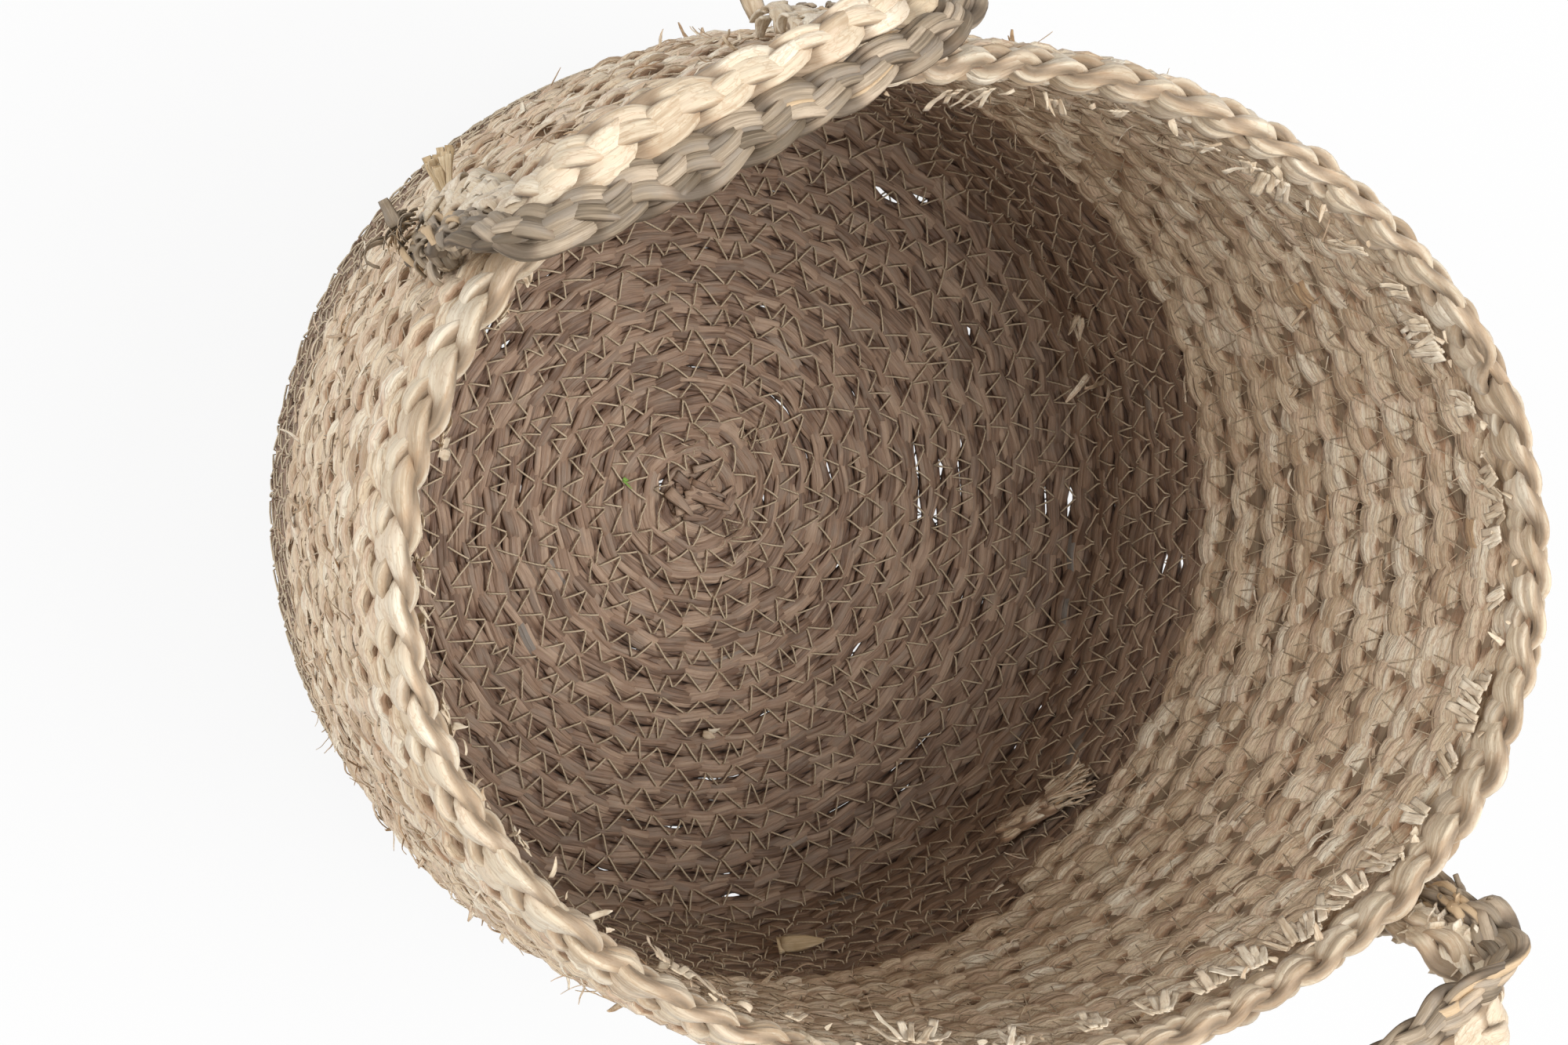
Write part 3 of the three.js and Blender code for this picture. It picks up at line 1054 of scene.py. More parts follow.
@dataclass
class SeamThread(SubAssembly):
    """The thread that joins each row to the next in a zigzag, seen on both faces."""

    name: str
    first_turn: float
    last_turn: float
    thickness: float
    pitch: float = 0.0098
    back_share: float = 0.40
    radius: float = 0.00030
    lifts: tuple[float, float] = (0.98, 0.84)
    tone: float = 0.9
    least_radius: float = 0.006
    seed: int = 11

    def tips(self) -> tuple[Array, Array]:
        """Find where the thread goes in, row by row.

        Returns:
            The count of turns at each tip, and its place across: 0 in the lower row, 1 in the upper.
        """
        random = np.random.default_rng(self.seed)
        turns, sides = [], []
        turn, upper = self.first_turn, 0
        while turn < self.last_turn:
            turns.append(turn)
            sides.append(upper)
            radius = float(self.skin.meridian(self.skin.row_edge(np.array(turn + 1)))[0])
            share = self.back_share if upper else 1 - self.back_share
            stride = self.pitch * share * random.uniform(0.35, 1.65)
            turn += stride / (FULL_TURN * max(radius, self.least_radius))
            upper = 1 - upper
        return np.array(turns), np.array(sides, float)

    def fibre(self, face: Face) -> Fibre:
        """Lay the thread over one face.

        Args:
            face: The face that it is seen on.

        Returns:
            The thread as one fibre, none of it below the floor.
        """
        skin = self.skin
        tip_turns, tip_sides = self.tips()
        random = np.random.default_rng(self.seed + 1)
        tip_sides = tip_sides * 0.86 + 0.07 + random.uniform(-0.20, 0.20, len(tip_sides))
        shares = np.array([0.0, 0.14, 0.5, 0.86])
        turns, sides = ((tips[:-1, None] + np.diff(tips)[:, None] * shares).ravel()
                        for tips in (tip_turns, tip_sides))
        lifts = np.tile(np.array([0.15, 1.0, 1.02, 1.0]), len(tip_turns) - 1)
        lower_mid = (skin.row_edge(turns) + skin.row_edge(turns + 1)) / 2
        upper_edge = np.minimum(skin.row_edge(turns + 2), skin.wall_top_reach)
        upper_mid = (skin.row_edge(turns + 1) + upper_edge) / 2
        point, _, off = skin.surface(lower_mid + (upper_mid - lower_mid) * sides, turns)
        lift = self.lifts[0 if face is Face.INNER else 1]
        centre = moved(point, (off, face.value * (self.thickness / 2 * lift + self.radius) * lifts))
        centre[:, 2] = np.maximum(centre[:, 2], self.radius)
        tone = self.tone + 0.3 * Unevenness(self.seed).along(np.arange(len(centre)) * 1.0, 9.0)
        return Fibre.plain((centre, off * face.value), (self.radius, self.radius), (tone, 1.0), 4,
                           roundness=1.0, seed=self.seed)

    def build(self) -> None:
        """Make the thread on each face."""
        for face in Face:
            self.basket.close([self.fibre(face)], f"{self.name}_{face.name.lower()}", Finish.THREAD, "thread")


@dataclass(frozen=True)
class LooseEnd:
    """One loose end of leaf, husk or thread. It narrows and may curl."""

    root: Array
    way: Array
    face: Array
    length: float
    width: float
    thickness: float
    curl: float = 0.0
    tone: float = 0.5
    narrow: float = 0.7
    sway: float = 0.35
    points: int = 8

    def fibre(self, random: Random) -> Fibre:
        """Lay it out from its root.

        Args:
            random: The random numbers, which pick its unevenness.

        Returns:
            The end as one fibre, none of it below the floor.
        """
        seed = int(random.integers(SEEDS))
        share = np.linspace(0, 1, self.points)
        way = unit(self.way)
        square = unit(self.face - way * float(self.face @ way))
        uneven = Unevenness(seed)
        angle = self.curl * share + self.sway * uneven.along(share, 0.3)
        steps = way * np.cos(angle)[:, None] + square * np.sin(angle)[:, None]
        centre = self.root + np.cumsum(steps, axis=0) * self.length / len(share)
        centre[:, 2] = np.maximum(centre[:, 2], self.thickness)
        normal = square * np.cos(angle)[:, None] - way * np.sin(angle)[:, None]
        width = self.width / 2 * (1 - self.narrow * share ** 2) * uneven.factor(share, 0.25, 0.25)
        return Fibre.plain((centre, normal), (width, self.thickness / 2 * (1 - 0.5 * share)),
                           (self.tone, 1.0), 6, pleats=0.08, seed=seed, edging=0.35)


@dataclass(frozen=True)
class Root:
    """One end of a handle, where the strap is sewn to the wall."""

    side: int
    turn: float
    twist: float


@dataclass
class StrapHandle(SubAssembly):
    """A strap of one husk plait and one grass plait, whose tails are sewn to the wall."""

    name: str
    turn: float
    rise: float
    bend: float
    roll: float
    lean: float
    crown: float = 0.003
    root_turn: float = math.radians(20.5)
    plait_width: float = 0.011
    plait_thickness: float = 0.007
    tail_length: float = 0.054
    tail_twist_length: float = 0.024
    rumple: float = 0.0013
    folds: int = 150
    rumpled_heights: tuple[float, float] = (-0.008, 0.020)
    crumpled_reach: tuple[float, float] = (0.026, 0.014)
    slender: tuple[float, float] = (1.6, 0.6)
    rolled_share: float = 0.72
    tail_points: int = 28
    route_step: float = 0.0005
    route_softness: int = 7
    husk: Plait = Plait(period=0.041, strand_width=0.62, strand_thickness=0.54,
                        leaves=(Leaf(-0.34, 0.66, 0.85), Leaf(0.38, 0.60, 0.8, 0.22)),
                        steps=30, sides=14, fill=1.14, pleats=0.14, uneven=0.30, taper=0.10,
                        relief=0.9, seed=21)
    grass: Plait = Plait(period=0.039, strand_width=0.62, strand_thickness=0.62,
                         leaves=(Leaf(-0.68, 0.36, 0.55), Leaf(-0.24, 0.40, 0.7, 0.22),
                                 Leaf(0.20, 0.42, 0.75, -0.08), Leaf(0.64, 0.38, 0.6, 0.14)),
                         steps=28, sides=8, fill=1.14, pleats=0.05, uneven=0.3, shared_tone=0.1,
                         steady_tone=0.6, seed=27)

    @property
    def pivot_height(self) -> float:
        """Height of the line that the strap turns on."""
        return self.skin.rim_top + self.plait_thickness / 2 + self.skin.seat

    def tail_point(self, root: Root, height: float) -> tuple[Array, Array, Array]:
        """Give the middle of the sewn tail at one height.

        Args:
            root: The handle's end.
            height: The height.

        Returns:
            The point, the way across the strap and the way out of it.
        """
        skin = self.skin
        point, along, out = skin.wall(min(height, skin.rim_mid), root.turn)
        point = point * LEVEL + UP * height
        share = float(eased(height, skin.rim_top - self.tail_twist_length, skin.rim_top))
        ease = float(eased(height, skin.rim_top - 2 * skin.rim_height, skin.rim_top - skin.rim_height))
        face_reach = (skin.husk_thickness * (1 - ease) + skin.rim_thickness * ease) / 2
        clear = (self.plait_width + skin.seat / 2) * math.sin(abs(root.twist) * share)
        reach = face_reach + skin.seat + self.plait_thickness / 2 + clear
        turned = Matrix.Rotation(root.twist * share, 3, "Z")
        across = np.array(turned @ Vector(along)) * root.side
        return point + out * reach, across, np.array(turned @ Vector(out))

    def roots(self) -> list[Root]:
        """Find the two roots and how far each turns to face the hinge line.

        Returns:
            The left root and the right root.
        """
        turns = [self.turn + side * self.root_turn for side in (-1, 1)]
        places = [self.skin.wall(self.skin.rim_mid, turn) for turn in turns]
        chord = unit(places[1][0] - places[0][0])
        return [Root(side, turn, math.atan2(float(np.cross(along, chord)[2]), float(along @ chord)))
                for side, turn, (_, along, _) in zip((-1, 1), turns, places)]

    def half_path(self, half_span: float) -> list[tuple[float, float, float, float]]:
        """Follow one half of the upright strap above its hinge line.

        Args:
            half_span: Half the distance between the pivots.

        Returns:
            Distance from the middle, height, slope and share of the way for each point.
        """
        leg_top, bar = self.rise - self.bend, half_span - self.bend
        leg_share, bend_share = 2 / 18, 13 / 18
        path = []
        for share in np.linspace(0, leg_share, 5)[:-1]:
            path.append((half_span, leg_top * share / leg_share, math.pi / 2, share))
        for share in np.linspace(leg_share, bend_share, 22)[:-1]:
            angle = math.pi / 2 * (share - leg_share) / (bend_share - leg_share)
            path.append((half_span - self.bend * (1 - math.cos(angle)),
                         leg_top + self.bend * math.sin(angle), math.pi / 2 - angle, share))
        for share in np.linspace(bend_share, 1, 12):
            way = (share - bend_share) / (1 - bend_share)
            path.append((bar * (1 - way), self.rise + self.crown * way * (2 - way), 0.0, share))
        return path

    def route(self) -> Route:
        """Go up one tail, over the strap and down the other tail.

        Returns:
            The strap's route, with the grass plait's side as its way across.
        """
        left, right = self.roots()
        pivots = [self.tail_point(root, self.pivot_height)[0] for root in (left, right)]
        hinge = unit(pivots[1] - pivots[0])
        middle = (pivots[0] + pivots[1]) / 2
        half = self.half_path(float(np.linalg.norm(pivots[1] - pivots[0])) / 2)
        out = np.cross(hinge, UP)
        lifted = UP * math.cos(self.lean) + out * math.sin(self.lean)
        faced = out * math.cos(self.lean) - UP * math.sin(self.lean)
        top = self.pivot_height - self.plait_thickness / 2 - self.skin.seat
        heights = np.linspace(top - self.tail_length, top, self.tail_points)
        rows = [self.tail_point(left, height) for height in heights]
        loop = [(*stop, -1) for stop in half] + [(*stop, 1) for stop in half[-2::-1]]
        for distance, height, slope, share, side in loop:
            outside = hinge * side * math.sin(slope) + lifted * math.cos(slope)
            roll = self.roll * float(eased(share, 0, self.rolled_share))
            rows.append((middle + hinge * side * distance + lifted * height,
                         outside * math.cos(roll) - faced * math.sin(roll),
                         faced * math.cos(roll) + outside * math.sin(roll)))
        rows += [self.tail_point(right, height) for height in heights[::-1]]
        line = tuple(np.array(column) for column in zip(*rows))
        route = Route.steady(line, self.plait_width, self.plait_thickness)
        return route.even(self.route_step).softened(self.route_softness)

    def rumpled(self, fibre: Fibre) -> Fibre:
        """Crumple the part of a fibre that is pulled tight and sewn down below the rim.

        Args:
            fibre: One fibre of the strap.

        Returns:
            The same fibre, changed.
        """
        low, high = (self.pivot_height + height for height in self.rumpled_heights)
        share = 1 - eased(fibre.centre[:, 2], low, high)
        lengths = lengths_along(fibre.centre)
        uneven = Unevenness(fibre.seed + 500)
        across, normal = fibre.ways()
        fibre.centre = moved(fibre.centre, (across, self.rumple * share * uneven.along(lengths, 0.006)),
                             (normal, self.rumple * share * uneven.along(lengths, 0.004)))
        fibre.half_width = fibre.half_width * uneven.factor(lengths, 0.005, 0.35 * share)
        return fibre

    def fold(self, line: Route, side: int, random: Random) -> Fibre:
        """Arch one crumpled fold over an end of a plait.

        Args:
            line: The plait's line at even lengths.
            side: Which plait: -1 for husk and 1 for grass.
            random: The random numbers.

        Returns:
            The fold as one fibre.
        """
        some, kind = random.uniform, 0 if side < 0 else 1
        reach = self.tail_length + self.crumpled_reach[kind]
        away = some(-0.006, reach)
        count = len(line.centre)
        step = float(lengths_along(line.centre)[-1]) / (count - 1)
        station, onward = min(max(round(away / step), 0), count - 2), 1
        if some() < 0.5:
            station, onward = count - 1 - station, -1
        down = unit(line.centre[station] - line.centre[station + onward])
        across, face = line.across[station], line.face[station]
        way = across * some(-0.9, 0.9) + down * random.choice((-1, 1)) + face * 0.9
        start = (line.centre[station] + across * self.plait_width * some(-0.5, 0.5)
                 + face * self.plait_thickness * some(0.10, 0.38) + down * max(-away, 0))
        fade = float(1 - 0.6 * eased(away, self.tail_length, reach))
        return LooseEnd(start, way, face, length=fade * some(0.008, 0.014),
                        width=self.slender[kind] * some(0.0025, 0.0046), thickness=0.0010,
                        curl=-some(1.8, 2.6), tone=some(0.35, 1.0), narrow=0.5).fibre(random)

    def build(self) -> None:
        """Make both plaits, laid along the strap's route and crumpled where their tails are sewn down."""
        route, pivot = self.route(), self.pivot_height
        offset = (self.plait_width + self.skin.seat) / 2
        for kind, plait, side, finish in (("husk", self.husk, -1, Finish.RIM),
                                          ("grass", self.grass, 1, Finish.GRASS)):
            line = route.shifted(side * offset).even(plait.step)
            random = np.random.default_rng(plait.seed)
            fibres = [self.rumpled(fibre) for fibre in plait.strands(line)]
            fibres += [self.fold(line, side, random) for _ in range(self.folds)]
            nodes = [f"{self.name}_{part}" for part in
                     (f"{kind}_loop", f"left_{kind}_tail", f"right_{kind}_tail")]
            piece = self.basket.close(fibres, f"{self.name}_{kind}_plait", finish, kind, nodes, still=False)
            pivot - 0.008
            pivot + 0.006
            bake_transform(piece)


@dataclass
class Lashing(SubAssembly):
    """The thread that is wound over both tails at one root."""

    handle: StrapHandle
    drop: float = 0.026
    wraps: int = 5
    turn_points: int = 14
    spread: float = 0.011
    sway: float = 0.0012
    jitter: float = 0.0008
    radius: float = 0.0005
    tone: float = 0.35
    seed: int = 71

    def wound(self, root: Root) -> Fibre:
        """Wind the thread round both tails.

        Args:
            root: The handle's end.

        Returns:
            The thread as one fibre.
        """
        handle, skin = self.handle, self.skin
        random = np.random.default_rng(self.seed + root.side)
        half_width = handle.plait_width + skin.seat
        half_thickness = handle.plait_thickness / 2 + skin.seat / 2
        points, ways = [], []
        for step in np.linspace(0, self.wraps, self.wraps * self.turn_points + 1):
            cos, sin = math.cos(FULL_TURN * step), math.sin(FULL_TURN * step)
            sway = self.sway * math.sin(3.1 * step) + self.jitter * random.uniform(-1, 1)
            height = skin.rim_top - self.drop + self.spread * (step / self.wraps - 0.5) + sway
            centre, across, out = handle.tail_point(root, height)
            flat, deep = math.copysign(abs(cos) ** 0.6, cos), math.copysign(abs(sin) ** 0.8, sin)
            points.append(centre + across * flat * half_width + out * deep * half_thickness)
            ways.append(across * cos + out * sin)
        return Fibre.plain((np.array(points), np.array(ways)), (self.radius, self.radius),
                           (self.tone, 1.0), 6, roundness=1.0, seed=self.seed + 6)

    def build(self) -> None:
        """Make the wraps at both roots."""
        for root in self.handle.roots():
            label = f"{self.handle.name}_{'left' if root.side < 0 else 'right'}_lashing"
            self.basket.close([self.wound(root)], f"{label}_thread", Finish.THREAD, "thread", [label])


@dataclass
class Splice(SubAssembly):
    """The cut end of the husk plait, sewn down on the inside where the rush plait stops."""

    turn: float = math.radians(18)
    length: float = 0.034
    width: float = 0.009
    thickness: float = 0.004
    clearance: float = 0.0006
    drop: float = 0.004
    slant: tuple[float, float] = (0.5, 0.87)
    plaited_from: float = 0.44
    bristles: int = 46
    plait: Plait = Plait(period=0.026, strand_width=0.60, strand_thickness=0.80,
                         leaves=(Leaf(-0.1, 0.92), Leaf(0.45, 0.6, 0.8, 0.15)),
                         steps=18, sides=10, fill=1.30, pleats=0.12, uneven=0.3, seed=41)

    def bristle(self, route: Route, random: Random) -> Fibre:
        """Lay one fibre of the cut brush beyond the plaited part.

        Args:
            route: The plaited part's line.
            random: The random numbers.

        Returns:
            The fibre.
        """
        some = random.uniform
        centre, across, face = route.centre[0], route.across[0], route.face[0]
        place = some(-1, 1)
        way = unit(centre - route.centre[2]) + across * place * 0.25
        start = (centre + across * place * 0.42 * self.width + face * some(-0.3, 0.9) * self.thickness
                 - way * 0.003)
        return LooseEnd(start, way + face * some(-0.05, 0.22), face, length=some(0.013, 0.019),
                        width=some(0.0009, 0.0016), thickness=0.0009, curl=some(-0.5, 0.15),
                        tone=some(0, 1), narrow=0.35).fibre(random)

    def build(self) -> None:
        """Make the short plait and its brush of cut ends."""
        skin = self.skin
        start = float(skin.meridian(skin.row_edge(np.array(skin.rush_turns)))[1]) - self.drop
        down, round_way = (share * self.length for share in self.slant)
        rows = [skin.wall(start - down * part, self.turn - round_way * part / skin.foot_radius)
                for part in np.linspace(self.plaited_from, 1, 12)]
        inward = skin.rush_thickness / 2 + self.clearance + self.thickness / 2
        centre = np.array([point - out * inward for point, _, out in rows])
        face = np.array([-out for _, _, out in rows])
        across = unit(np.cross(np.gradient(centre, axis=0), face))
        route = Route.steady((centre, across, face), self.width, self.thickness)
        random = np.random.default_rng(self.plait.seed)
        fibres = [*self.plait.strands(route.even(self.plait.step)),
                  *(self.bristle(route, random) for _ in range(self.bristles))]
        self.basket.close(fibres, "splice_end", Finish.HUSK, "husk", ["splice_tail"])


@dataclass(frozen=True)
class Tuft:
    """A bunch of loose ends that start near one place."""

    finish: Finish
    root: Triple
    way: Triple
    count: int
    length: float
    width: float
    spread: float
    reach: float = 0.001
    curl: float = 1.0
    thickness: float = 0.0003
    face: Triple | None = None
    narrow: float = 0.7
    variety: tuple[float, float] = (0.7, 1.2)

    def fibres(self, random: Random) -> Iterator[Fibre]:
        """Lay out its ends.

        Args:
            random: The random numbers.

        Yields:
            One fibre for each end.
        """
        some, way = random.uniform, unit(np.array(self.way))
        for _ in range(self.count):
            root = np.array(self.root) + random.normal(0, 1, 3) * self.reach
            turned = unit(way + some(-1, 1, 3) * self.spread)
            face = random.normal(0, 1, 3) + UP
            curl = self.curl * some(-1, 1)
            if self.face:
                face = np.array(self.face) + 0.15 * face
                curl = abs(curl) * 0.4 + self.curl * 0.6
            yield LooseEnd(root, turned, face, length=self.length * some(*self.variety),
                           width=self.width * some(*self.variety), thickness=self.thickness,
                           curl=curl, tone=some(0, 1), narrow=self.narrow).fibre(random)


@dataclass
class LooseEnds(SubAssembly):
    """The cut ends, frayed fibres and tufts that stand off the plaits."""

    seed: int = 91
    rim_ends: int = 120
    rim_flaps: int = 80
    wall_ends: int = 1100
    laid_share: float = 0.75
    middle_leaves: int = 22
    inner_hairs: int = 240
    outer_hairs: int = 110
    tufts: tuple[Tuft, ...] = (
        Tuft(Finish.THREAD, (-0.0185, 0.0085, 0.0055), (0.3, 0.2, 0.6), count=14, length=0.007,
             width=0.0005, spread=1.2, reach=0.003, curl=3.0),
        Tuft(Finish.THREAD, (-0.008, 0.024, 0.0055), (-0.2, 0.5, 0.6), count=12, length=0.006,
             width=0.0005, spread=1.2, reach=0.003, curl=3.0),
        Tuft(Finish.THREAD, (0.0147, 0.0034, 0.0055), (0.4, -0.1, 0.6), count=16, length=0.007,
             width=0.0005, spread=1.2, reach=0.004, curl=3.0),
        Tuft(Finish.LEAF_GREEN, (-0.0223, -0.019, 0.006), (0.75, 0.35, 0.05), count=2, length=0.008,
             width=0.001, spread=0.25, reach=0.0005),
        Tuft(Finish.RIM, (0.063, -0.04, 0.0062), (0.5, 0.4, 0.1), count=2, length=0.005, width=0.003,
             spread=0.6),
        Tuft(Finish.THREAD, (0.125, 0.033, 0.056), (0.2, 0.9, 0.3), count=2, length=0.018, width=0.0006,
             spread=0.4, curl=1.8, thickness=0.0006),
        Tuft(Finish.HUSK, (0.0124, 0.135, 0.035), (0.2, -0.5, 0.3), count=4, length=0.01, width=0.0022,
             spread=0.8, reach=0.003),
        Tuft(Finish.HUSK, (0.034, 0.131, 0.033), (0.2, -0.4, 0.2), count=3, length=0.012, width=0.003,
             spread=0.8, reach=0.003),
        Tuft(Finish.PAPER, (0.116, -0.069, 0.056), (0.45, 0.85, 0.05), count=2, length=0.016,
             width=0.0055, spread=0.08, reach=0.0006, curl=0.4),
        Tuft(Finish.PAPER, (-0.145, -0.0545, 0.162), (-0.9, 0.38, -0.15), count=22, length=0.0115,
             width=0.0015, spread=0.28, reach=0.0006, curl=0.6, face=(-0.28, -0.26, 0.93), narrow=-0.7),
        Tuft(Finish.GRASS, (-0.147, -0.069, 0.181), (-0.6, -0.6, -0.4), count=26, length=0.0095,
             width=0.0016, spread=0.16, reach=0.0018, curl=2.9, thickness=0.0005,
             face=(0.62, -0.78, 0.07), narrow=0.3),
        Tuft(Finish.GRASS, (-0.1475, -0.0735, 0.182), (-0.96, 0.14, -0.25), count=1, length=0.01,
             width=0.003, spread=0.05, reach=0.0002, curl=0.2, thickness=0.0006,
             face=(-0.28, -0.26, 0.93), narrow=0.2),
        Tuft(Finish.GRASS, (-0.146, -0.0765, 0.181), (-0.4, -0.7, -0.2), count=2, length=0.012,
             width=0.0038, spread=0.1, reach=0.0006, curl=2.9, thickness=0.0005,
             face=(0.62, -0.78, 0.07), narrow=0.2),
        Tuft(Finish.RIM, (-0.1335, 0.0495, 0.14), (-0.954, 0.186, -0.235), count=1, length=0.026,
             width=0.0065, spread=0.03, reach=0.0004, curl=0.5, thickness=0.0006,
             face=(-0.28, -0.26, 0.93), narrow=0.1),
    )

    def __post_init__(self) -> None:
        """Start the random numbers that all the ends share."""
        self.random = np.random.default_rng(self.seed)

    def middle_leaf(self) -> LooseEnd:
        """Pick one short leaf of the tangle where the coil starts.

        Returns:
            The leaf.
        """
        some = self.random.uniform
        away, turn = some(0, 0.009), some(0, FULL_TURN)
        root = np.array([away * math.cos(turn) - self.skin.start_offset, away * math.sin(turn),
                         self.skin.rush_thickness + some(-0.0002, 0.0008)])
        bearing = math.radians(50) + self.random.normal(0, 0.6)
        way = np.array([math.cos(bearing), math.sin(bearing), some(-0.02, 0.05)])
        return LooseEnd(root - way * 0.006, way, UP, length=some(0.009, 0.015), width=some(0.0022, 0.0042),
                        thickness=0.0007, curl=-0.15, tone=some(0, 0.9))

    def rim_end(self) -> LooseEnd:
        """Pick one cut end on the inner side of the rim.

        Returns:
            The end.
        """
        some, skin = self.random.uniform, self.skin
        point, along, out = skin.wall(skin.rim_mid, some(0, FULL_TURN))
        root = point - out * skin.rim_thickness * 0.42 + UP * some(-0.008, 0.003)
        way = -out * some(0.1, 0.7) + along * some(-1, 1) + UP * some(-0.7, 0.6)
        return LooseEnd(root, way, UP - out * some(0, 1), length=some(0.002, 0.007),
                        width=some(0.0008, 0.0026), thickness=0.0003, curl=some(-2.2, 2.2),
                        tone=some(0.0, 0.7), narrow=0.85)

    def rim_flap(self) -> list[LooseEnd]:
        """Pick one torn flap of husk that hangs from the inner side of the rim.

        Returns:
            The ragged strips that the flap is torn into.
        """
        some, skin = self.random.uniform, self.skin
        point, along, out = skin.wall(skin.rim_mid, some(0, FULL_TURN))
        root = point - out * skin.rim_thickness * 0.50 + UP * some(-0.0025, 0.0005)
        way = -UP + along * some(-0.9, 0.9) - out * some(0.0, 0.25)
        length, tone = some(0.0075, 0.0125), some(0.2, 0.9)
        return [LooseEnd(root + along * 0.0011 * place, way + along * (0.22 * place + some(-0.10, 0.10)),
                         -out, length=length * some(0.7, 1.1), width=some(0.0016, 0.0030),
                         thickness=0.0004, curl=some(-0.2, 0.5), tone=tone, narrow=some(-0.2, 0.6))
                for place in (-1, 0, 1)]

    def wall_end(self, face: Face, hair: bool) -> LooseEnd:
        """Pick one frayed end on the husk wall.

        Args:
            face: The face that it stands on.
            hair: Whether it is a thin hair and not a flat end.

        Returns:
            The end.
        """
        some, random, skin = self.random.uniform, self.random, self.skin
        low = float(skin.row_edge(np.array(skin.rush_turns)))
        reach = some(low, skin.wall_top_reach)
        turns = math.ceil(skin.base_turns) + some(0, 1)
        point, across, off = skin.surface(np.array(reach), np.array(turns))
        off = off * face.value
        along = np.cross(across, off)
        root = point + off * skin.husk_thickness * 0.36
        way = off * some(0.2, 0.7) + across * some(-0.8, 0.8)
        way = way + along * random.choice((-1, 1)) * some(0.3, 1.0)
        if not hair and some() < self.laid_share:
            way = along * random.choice((-1, 1)) + across * some(-0.5, 0.5) + off * 0.35
            return LooseEnd(root, way, off, length=some(0.006, 0.012), width=some(0.0010, 0.0026),
                            thickness=0.0005, curl=-some(0.7, 1.2), tone=some(0, 1), narrow=0.6)
        if hair:
            return LooseEnd(root, way, random.normal(0, 1, 3), length=some(0.004, 0.010),
                            width=some(0.0003, 0.0005), thickness=0.0003, curl=some(-1.6, 1.6),
                            tone=some(0, 1), narrow=0.4)
        return LooseEnd(root, way, off, length=some(0.003, 0.008), width=some(0.0008, 0.0022),
                        thickness=0.0003, curl=some(-1.2, 0.8), tone=some(0, 1), narrow=0.6)

    def build(self) -> None:
        """Make one piece of loose ends for each finish."""
        random, ends = self.random, defaultdict(list)
        for tuft in self.tufts:
            ends[tuft.finish] += tuft.fibres(random)
        ends[Finish.RUSH] += [self.middle_leaf().fibre(random) for _ in range(self.middle_leaves)]
        ends[Finish.RIM] += [self.rim_end().fibre(random) for _ in range(self.rim_ends)]
        ends[Finish.RIM] += [end.fibre(random) for _ in range(self.rim_flaps) for end in self.rim_flap()]
        for count, face, hair in ((self.wall_ends, Face.OUTER, False),
                                  (self.wall_ends // 3, Face.INNER, False),
                                  (self.inner_hairs, Face.INNER, True),
                                  (self.outer_hairs, Face.OUTER, True)):
            ends[Finish.HUSK] += [self.wall_end(face, hair).fibre(random) for _ in range(count)]
        slots = {Finish.RUSH: "rush", Finish.GRASS: "grass", Finish.THREAD: "thread",
                 Finish.LEAF_GREEN: "grass"}
        for finish in Finish:
            if ends[finish]:
                self.basket.close(ends[finish], f"{finish.name.lower()}_loose_ends", finish,
                                  slots.get(finish, "husk"))


@dataclass(frozen=True)
class PhotoCamera:
    """The camera at the place from which the basket was photographed."""

    place: Triple = (-0.2238, -0.2074, 0.8215)
    view: Triple = (0.2782, 0.2574, -0.9254)
    right: Triple = (0.4995, 0.7841, 0.3683)
    lens_mm: float = 61.9
    sensor_mm: float = 36.0

    def build(self) -> None:
        """Make the camera and set it as the scene's."""
        data = bpy.data.cameras.new("photo_camera")
        data.lens = self.lens_mm
        data.sensor_width = self.sensor_mm
        back = -Vector(self.view).normalized()
        upward = back.cross(Vector(self.right).normalized()).normalized()
        turned = Matrix((upward.cross(back), upward, back)).transposed().to_4x4()
        bpy.context.scene.camera = linked("photo_camera", data, Matrix.Translation(self.place) @ turned)


@dataclass(frozen=True)
class Lamp:
    """One soft area lamp."""

    name: str
    place: Triple
    size: float
    power: float
    target: Triple = (0.0, 0.0, 0.1)

    def build(self) -> None:
        """Hang the lamp and point it at its target."""
        data = bpy.data.lights.new(self.name, "AREA")
        data.size = self.size
        data.energy = self.power
        away = (Vector(self.place) - Vector(self.target)).normalized()
        turned = away.to_track_quat("Z", "Y").to_matrix().to_4x4()
        linked(self.name, data, Matrix.Translation(self.place) @ turned)


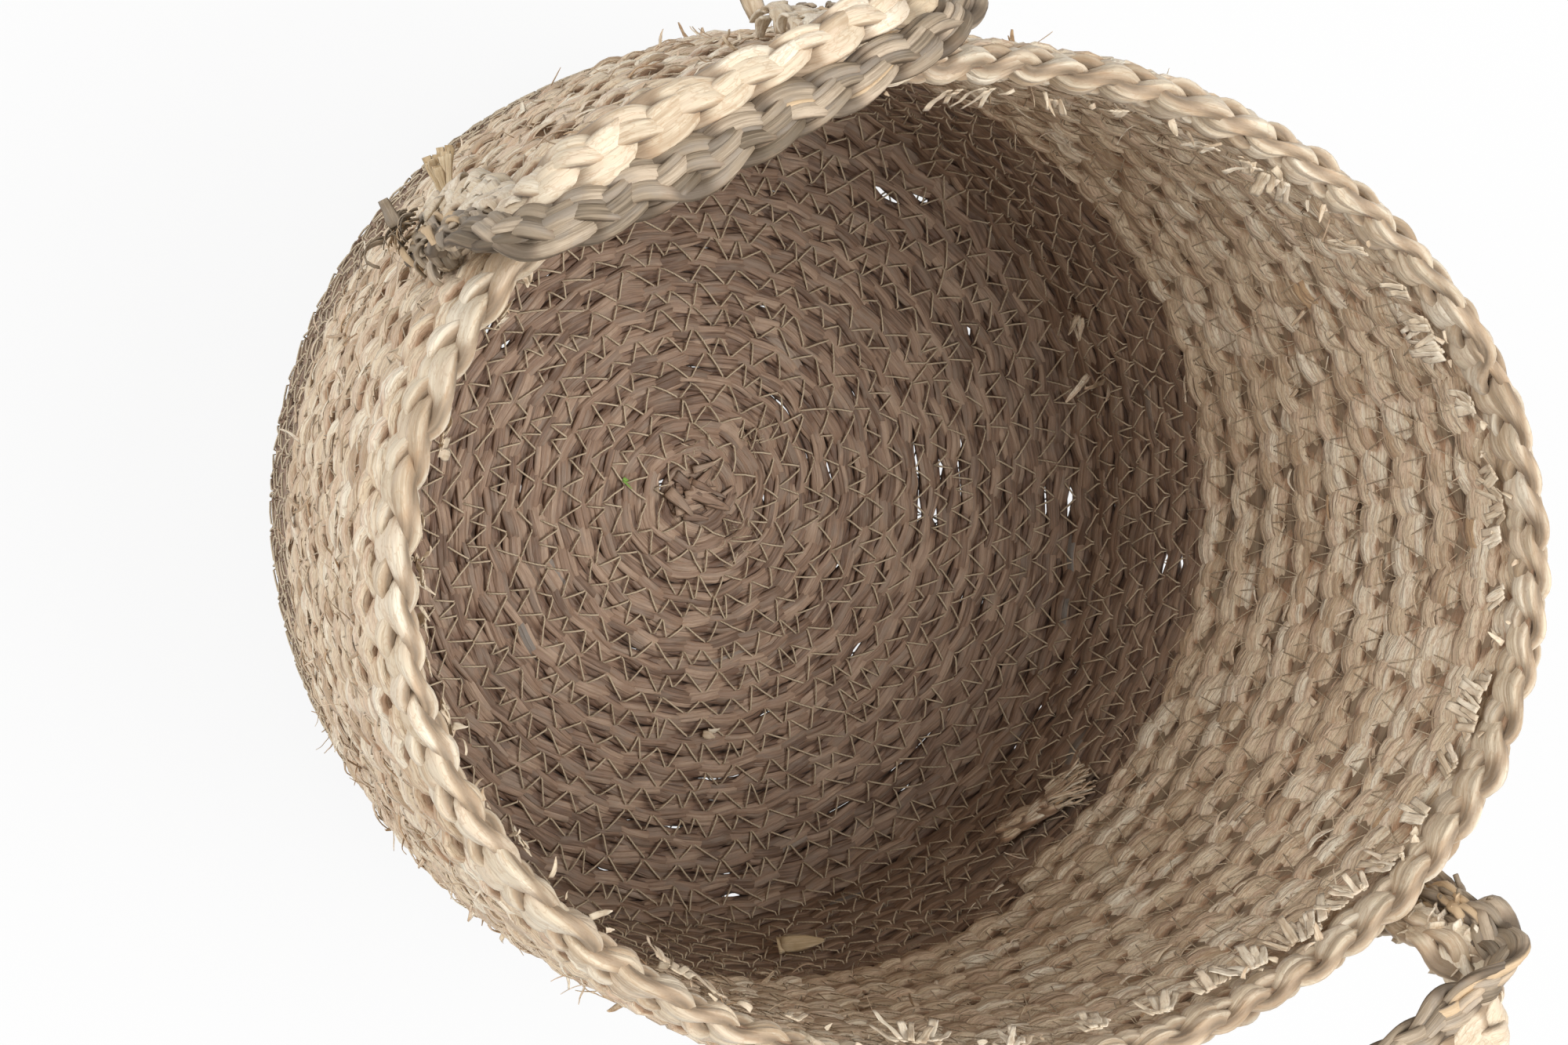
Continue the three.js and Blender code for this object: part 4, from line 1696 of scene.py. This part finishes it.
@dataclass(frozen=True)
class Studio:
    """A pale floor and soft light from above and from the left of the photo."""

    floor_size: float = 40.0
    floor_colour: Triple = (0.60, 0.60, 0.60)
    floor_glow: float = 0.90
    white: Triple = (1.0, 1.0, 1.0)
    sky: float = 0.645
    seen_sky: float = 0.96
    lamps: tuple[Lamp, ...] = (
        Lamp("left_softbox", (-1.90, -2.40, 1.90), 2.0, 62.0),
        Lamp("top_softbox", (0.38, 0.42, 1.80), 1.2, 33.0),
    )

    def build(self) -> None:
        """Make the floor, the sky and the lamps."""
        surface = bmesh.new()
        bmesh.ops.create_grid(surface, x_segments=1, y_segments=1, size=self.floor_size / 2)
        mesh = bpy.data.meshes.new("floor")
        surface.to_mesh(mesh)
        surface.free()
        mesh.materials.append(self.floor_material())
        floor = linked("floor", mesh)
        self.sky_light()
        for lamp in self.lamps:
            lamp.build()

    def floor_material(self) -> bpy.types.Material:
        """Make a pale floor that the camera sees nearly white, with a faint shadow.

        Returns:
            The floor's material.
        """
        nodes = NodeMaker(bpy.data.materials.new("floor_finish"))
        plain = nodes.node("ShaderNodeBsdfDiffuse", {"Color": self.floor_colour})
        glow = nodes.node("ShaderNodeEmission", {"Color": self.white, "Strength": 1.0})
        mixed = nodes.node("ShaderNodeMixShader", {0: nodes.seen() * self.floor_glow, 1: plain.outputs[0],
                                                   2: glow.outputs[0]})
        nodes.node("ShaderNodeOutputMaterial", {"Surface": mixed.outputs[0]})
        return nodes.owner

    def sky_light(self) -> None:
        """Make a plain world that lights softly and looks as pale as the floor."""
        world = bpy.data.worlds.new("studio_sky")
        bpy.context.scene.world = world
        nodes = NodeMaker(world)
        strength = nodes.seen() * (self.seen_sky - self.sky) + self.sky
        light = nodes.node("ShaderNodeBackground", {"Color": self.white, "Strength": strength})
        nodes.node("ShaderNodeOutputWorld", {"Surface": light.outputs[0]})


def main() -> None:
    """Build the camera, the studio and every piece."""
    logging.basicConfig(level=logging.INFO, format="%(name)s: %(message)s")
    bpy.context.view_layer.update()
    PhotoCamera().build()
    bpy.context.scene.view_settings.view_transform = "Standard"
    Studio().build()
    basket = Basket()
    skin = basket.skin
    coil_start = -0.4
    splice_gap = skin.seat / (FULL_TURN * skin.foot_radius)
    rush_plait = Plait(period=0.056, strand_width=0.62, strand_thickness=0.46,
                       leaves=(Leaf(-0.54, 0.50, 0.8), Leaf(0.02, 0.56, 0.8, 0.20),
                               Leaf(0.56, 0.48, 0.75, 0.05)),
                       steps=18, sides=6, fill=1.38, lean=math.radians(8), uneven=0.24,
                       shared_tone=0.2, relief=0.8, taper=0.05, pinch=0.29, seed=3)
    husk_plait = Plait(period=0.050, strand_width=0.70, strand_thickness=0.60,
                       leaves=(Leaf(-0.52, 0.46, 0.75), Leaf(0.02, 0.54, 0.80, 0.24),
                               Leaf(0.54, 0.44, 0.70, 0.04)),
                       steps=22, sides=8, fill=1.19, lean=math.radians(10), pleats=0.16, uneven=0.28,
                       shared_tone=0.35, taper=0.05, seed=4)
    WoundCoil(basket, "rush_coil", coil_start, skin.rush_turns, skin.rush_thickness, rush_plait,
              Finish.RUSH, "rush", core_flare=0.9).build()
    WoundCoil(basket, "husk_coil", skin.rush_turns + splice_gap, skin.husk_turns, skin.husk_thickness,
              husk_plait, Finish.HUSK, "husk", core_share=1.15, core_finish=Finish.SHADED_HUSK).build()
    Rim(basket).build()
    SeamThread(basket, "rush_thread", 0.25, skin.rush_turns - 1, skin.rush_thickness).build()
    SeamThread(basket, "husk_thread", skin.rush_turns - 1, skin.husk_turns - 1, skin.husk_thickness,
               radius=0.00018, lifts=(0.86, 0.66), tone=0.55, seed=13).build()
    for handle in (StrapHandle(basket, "handle_a", math.pi, rise=0.038, bend=0.022,
                               roll=math.radians(72), lean=0.0),
                   StrapHandle(basket, "handle_b", math.radians(-4.5), rise=0.025, bend=0.017,
                               roll=math.radians(155), lean=math.radians(42))):
        handle.build()
        Lashing(basket, handle).build()
    Splice(basket).build()
    LooseEnds(basket).build()


if __name__ == "__main__":
    main()
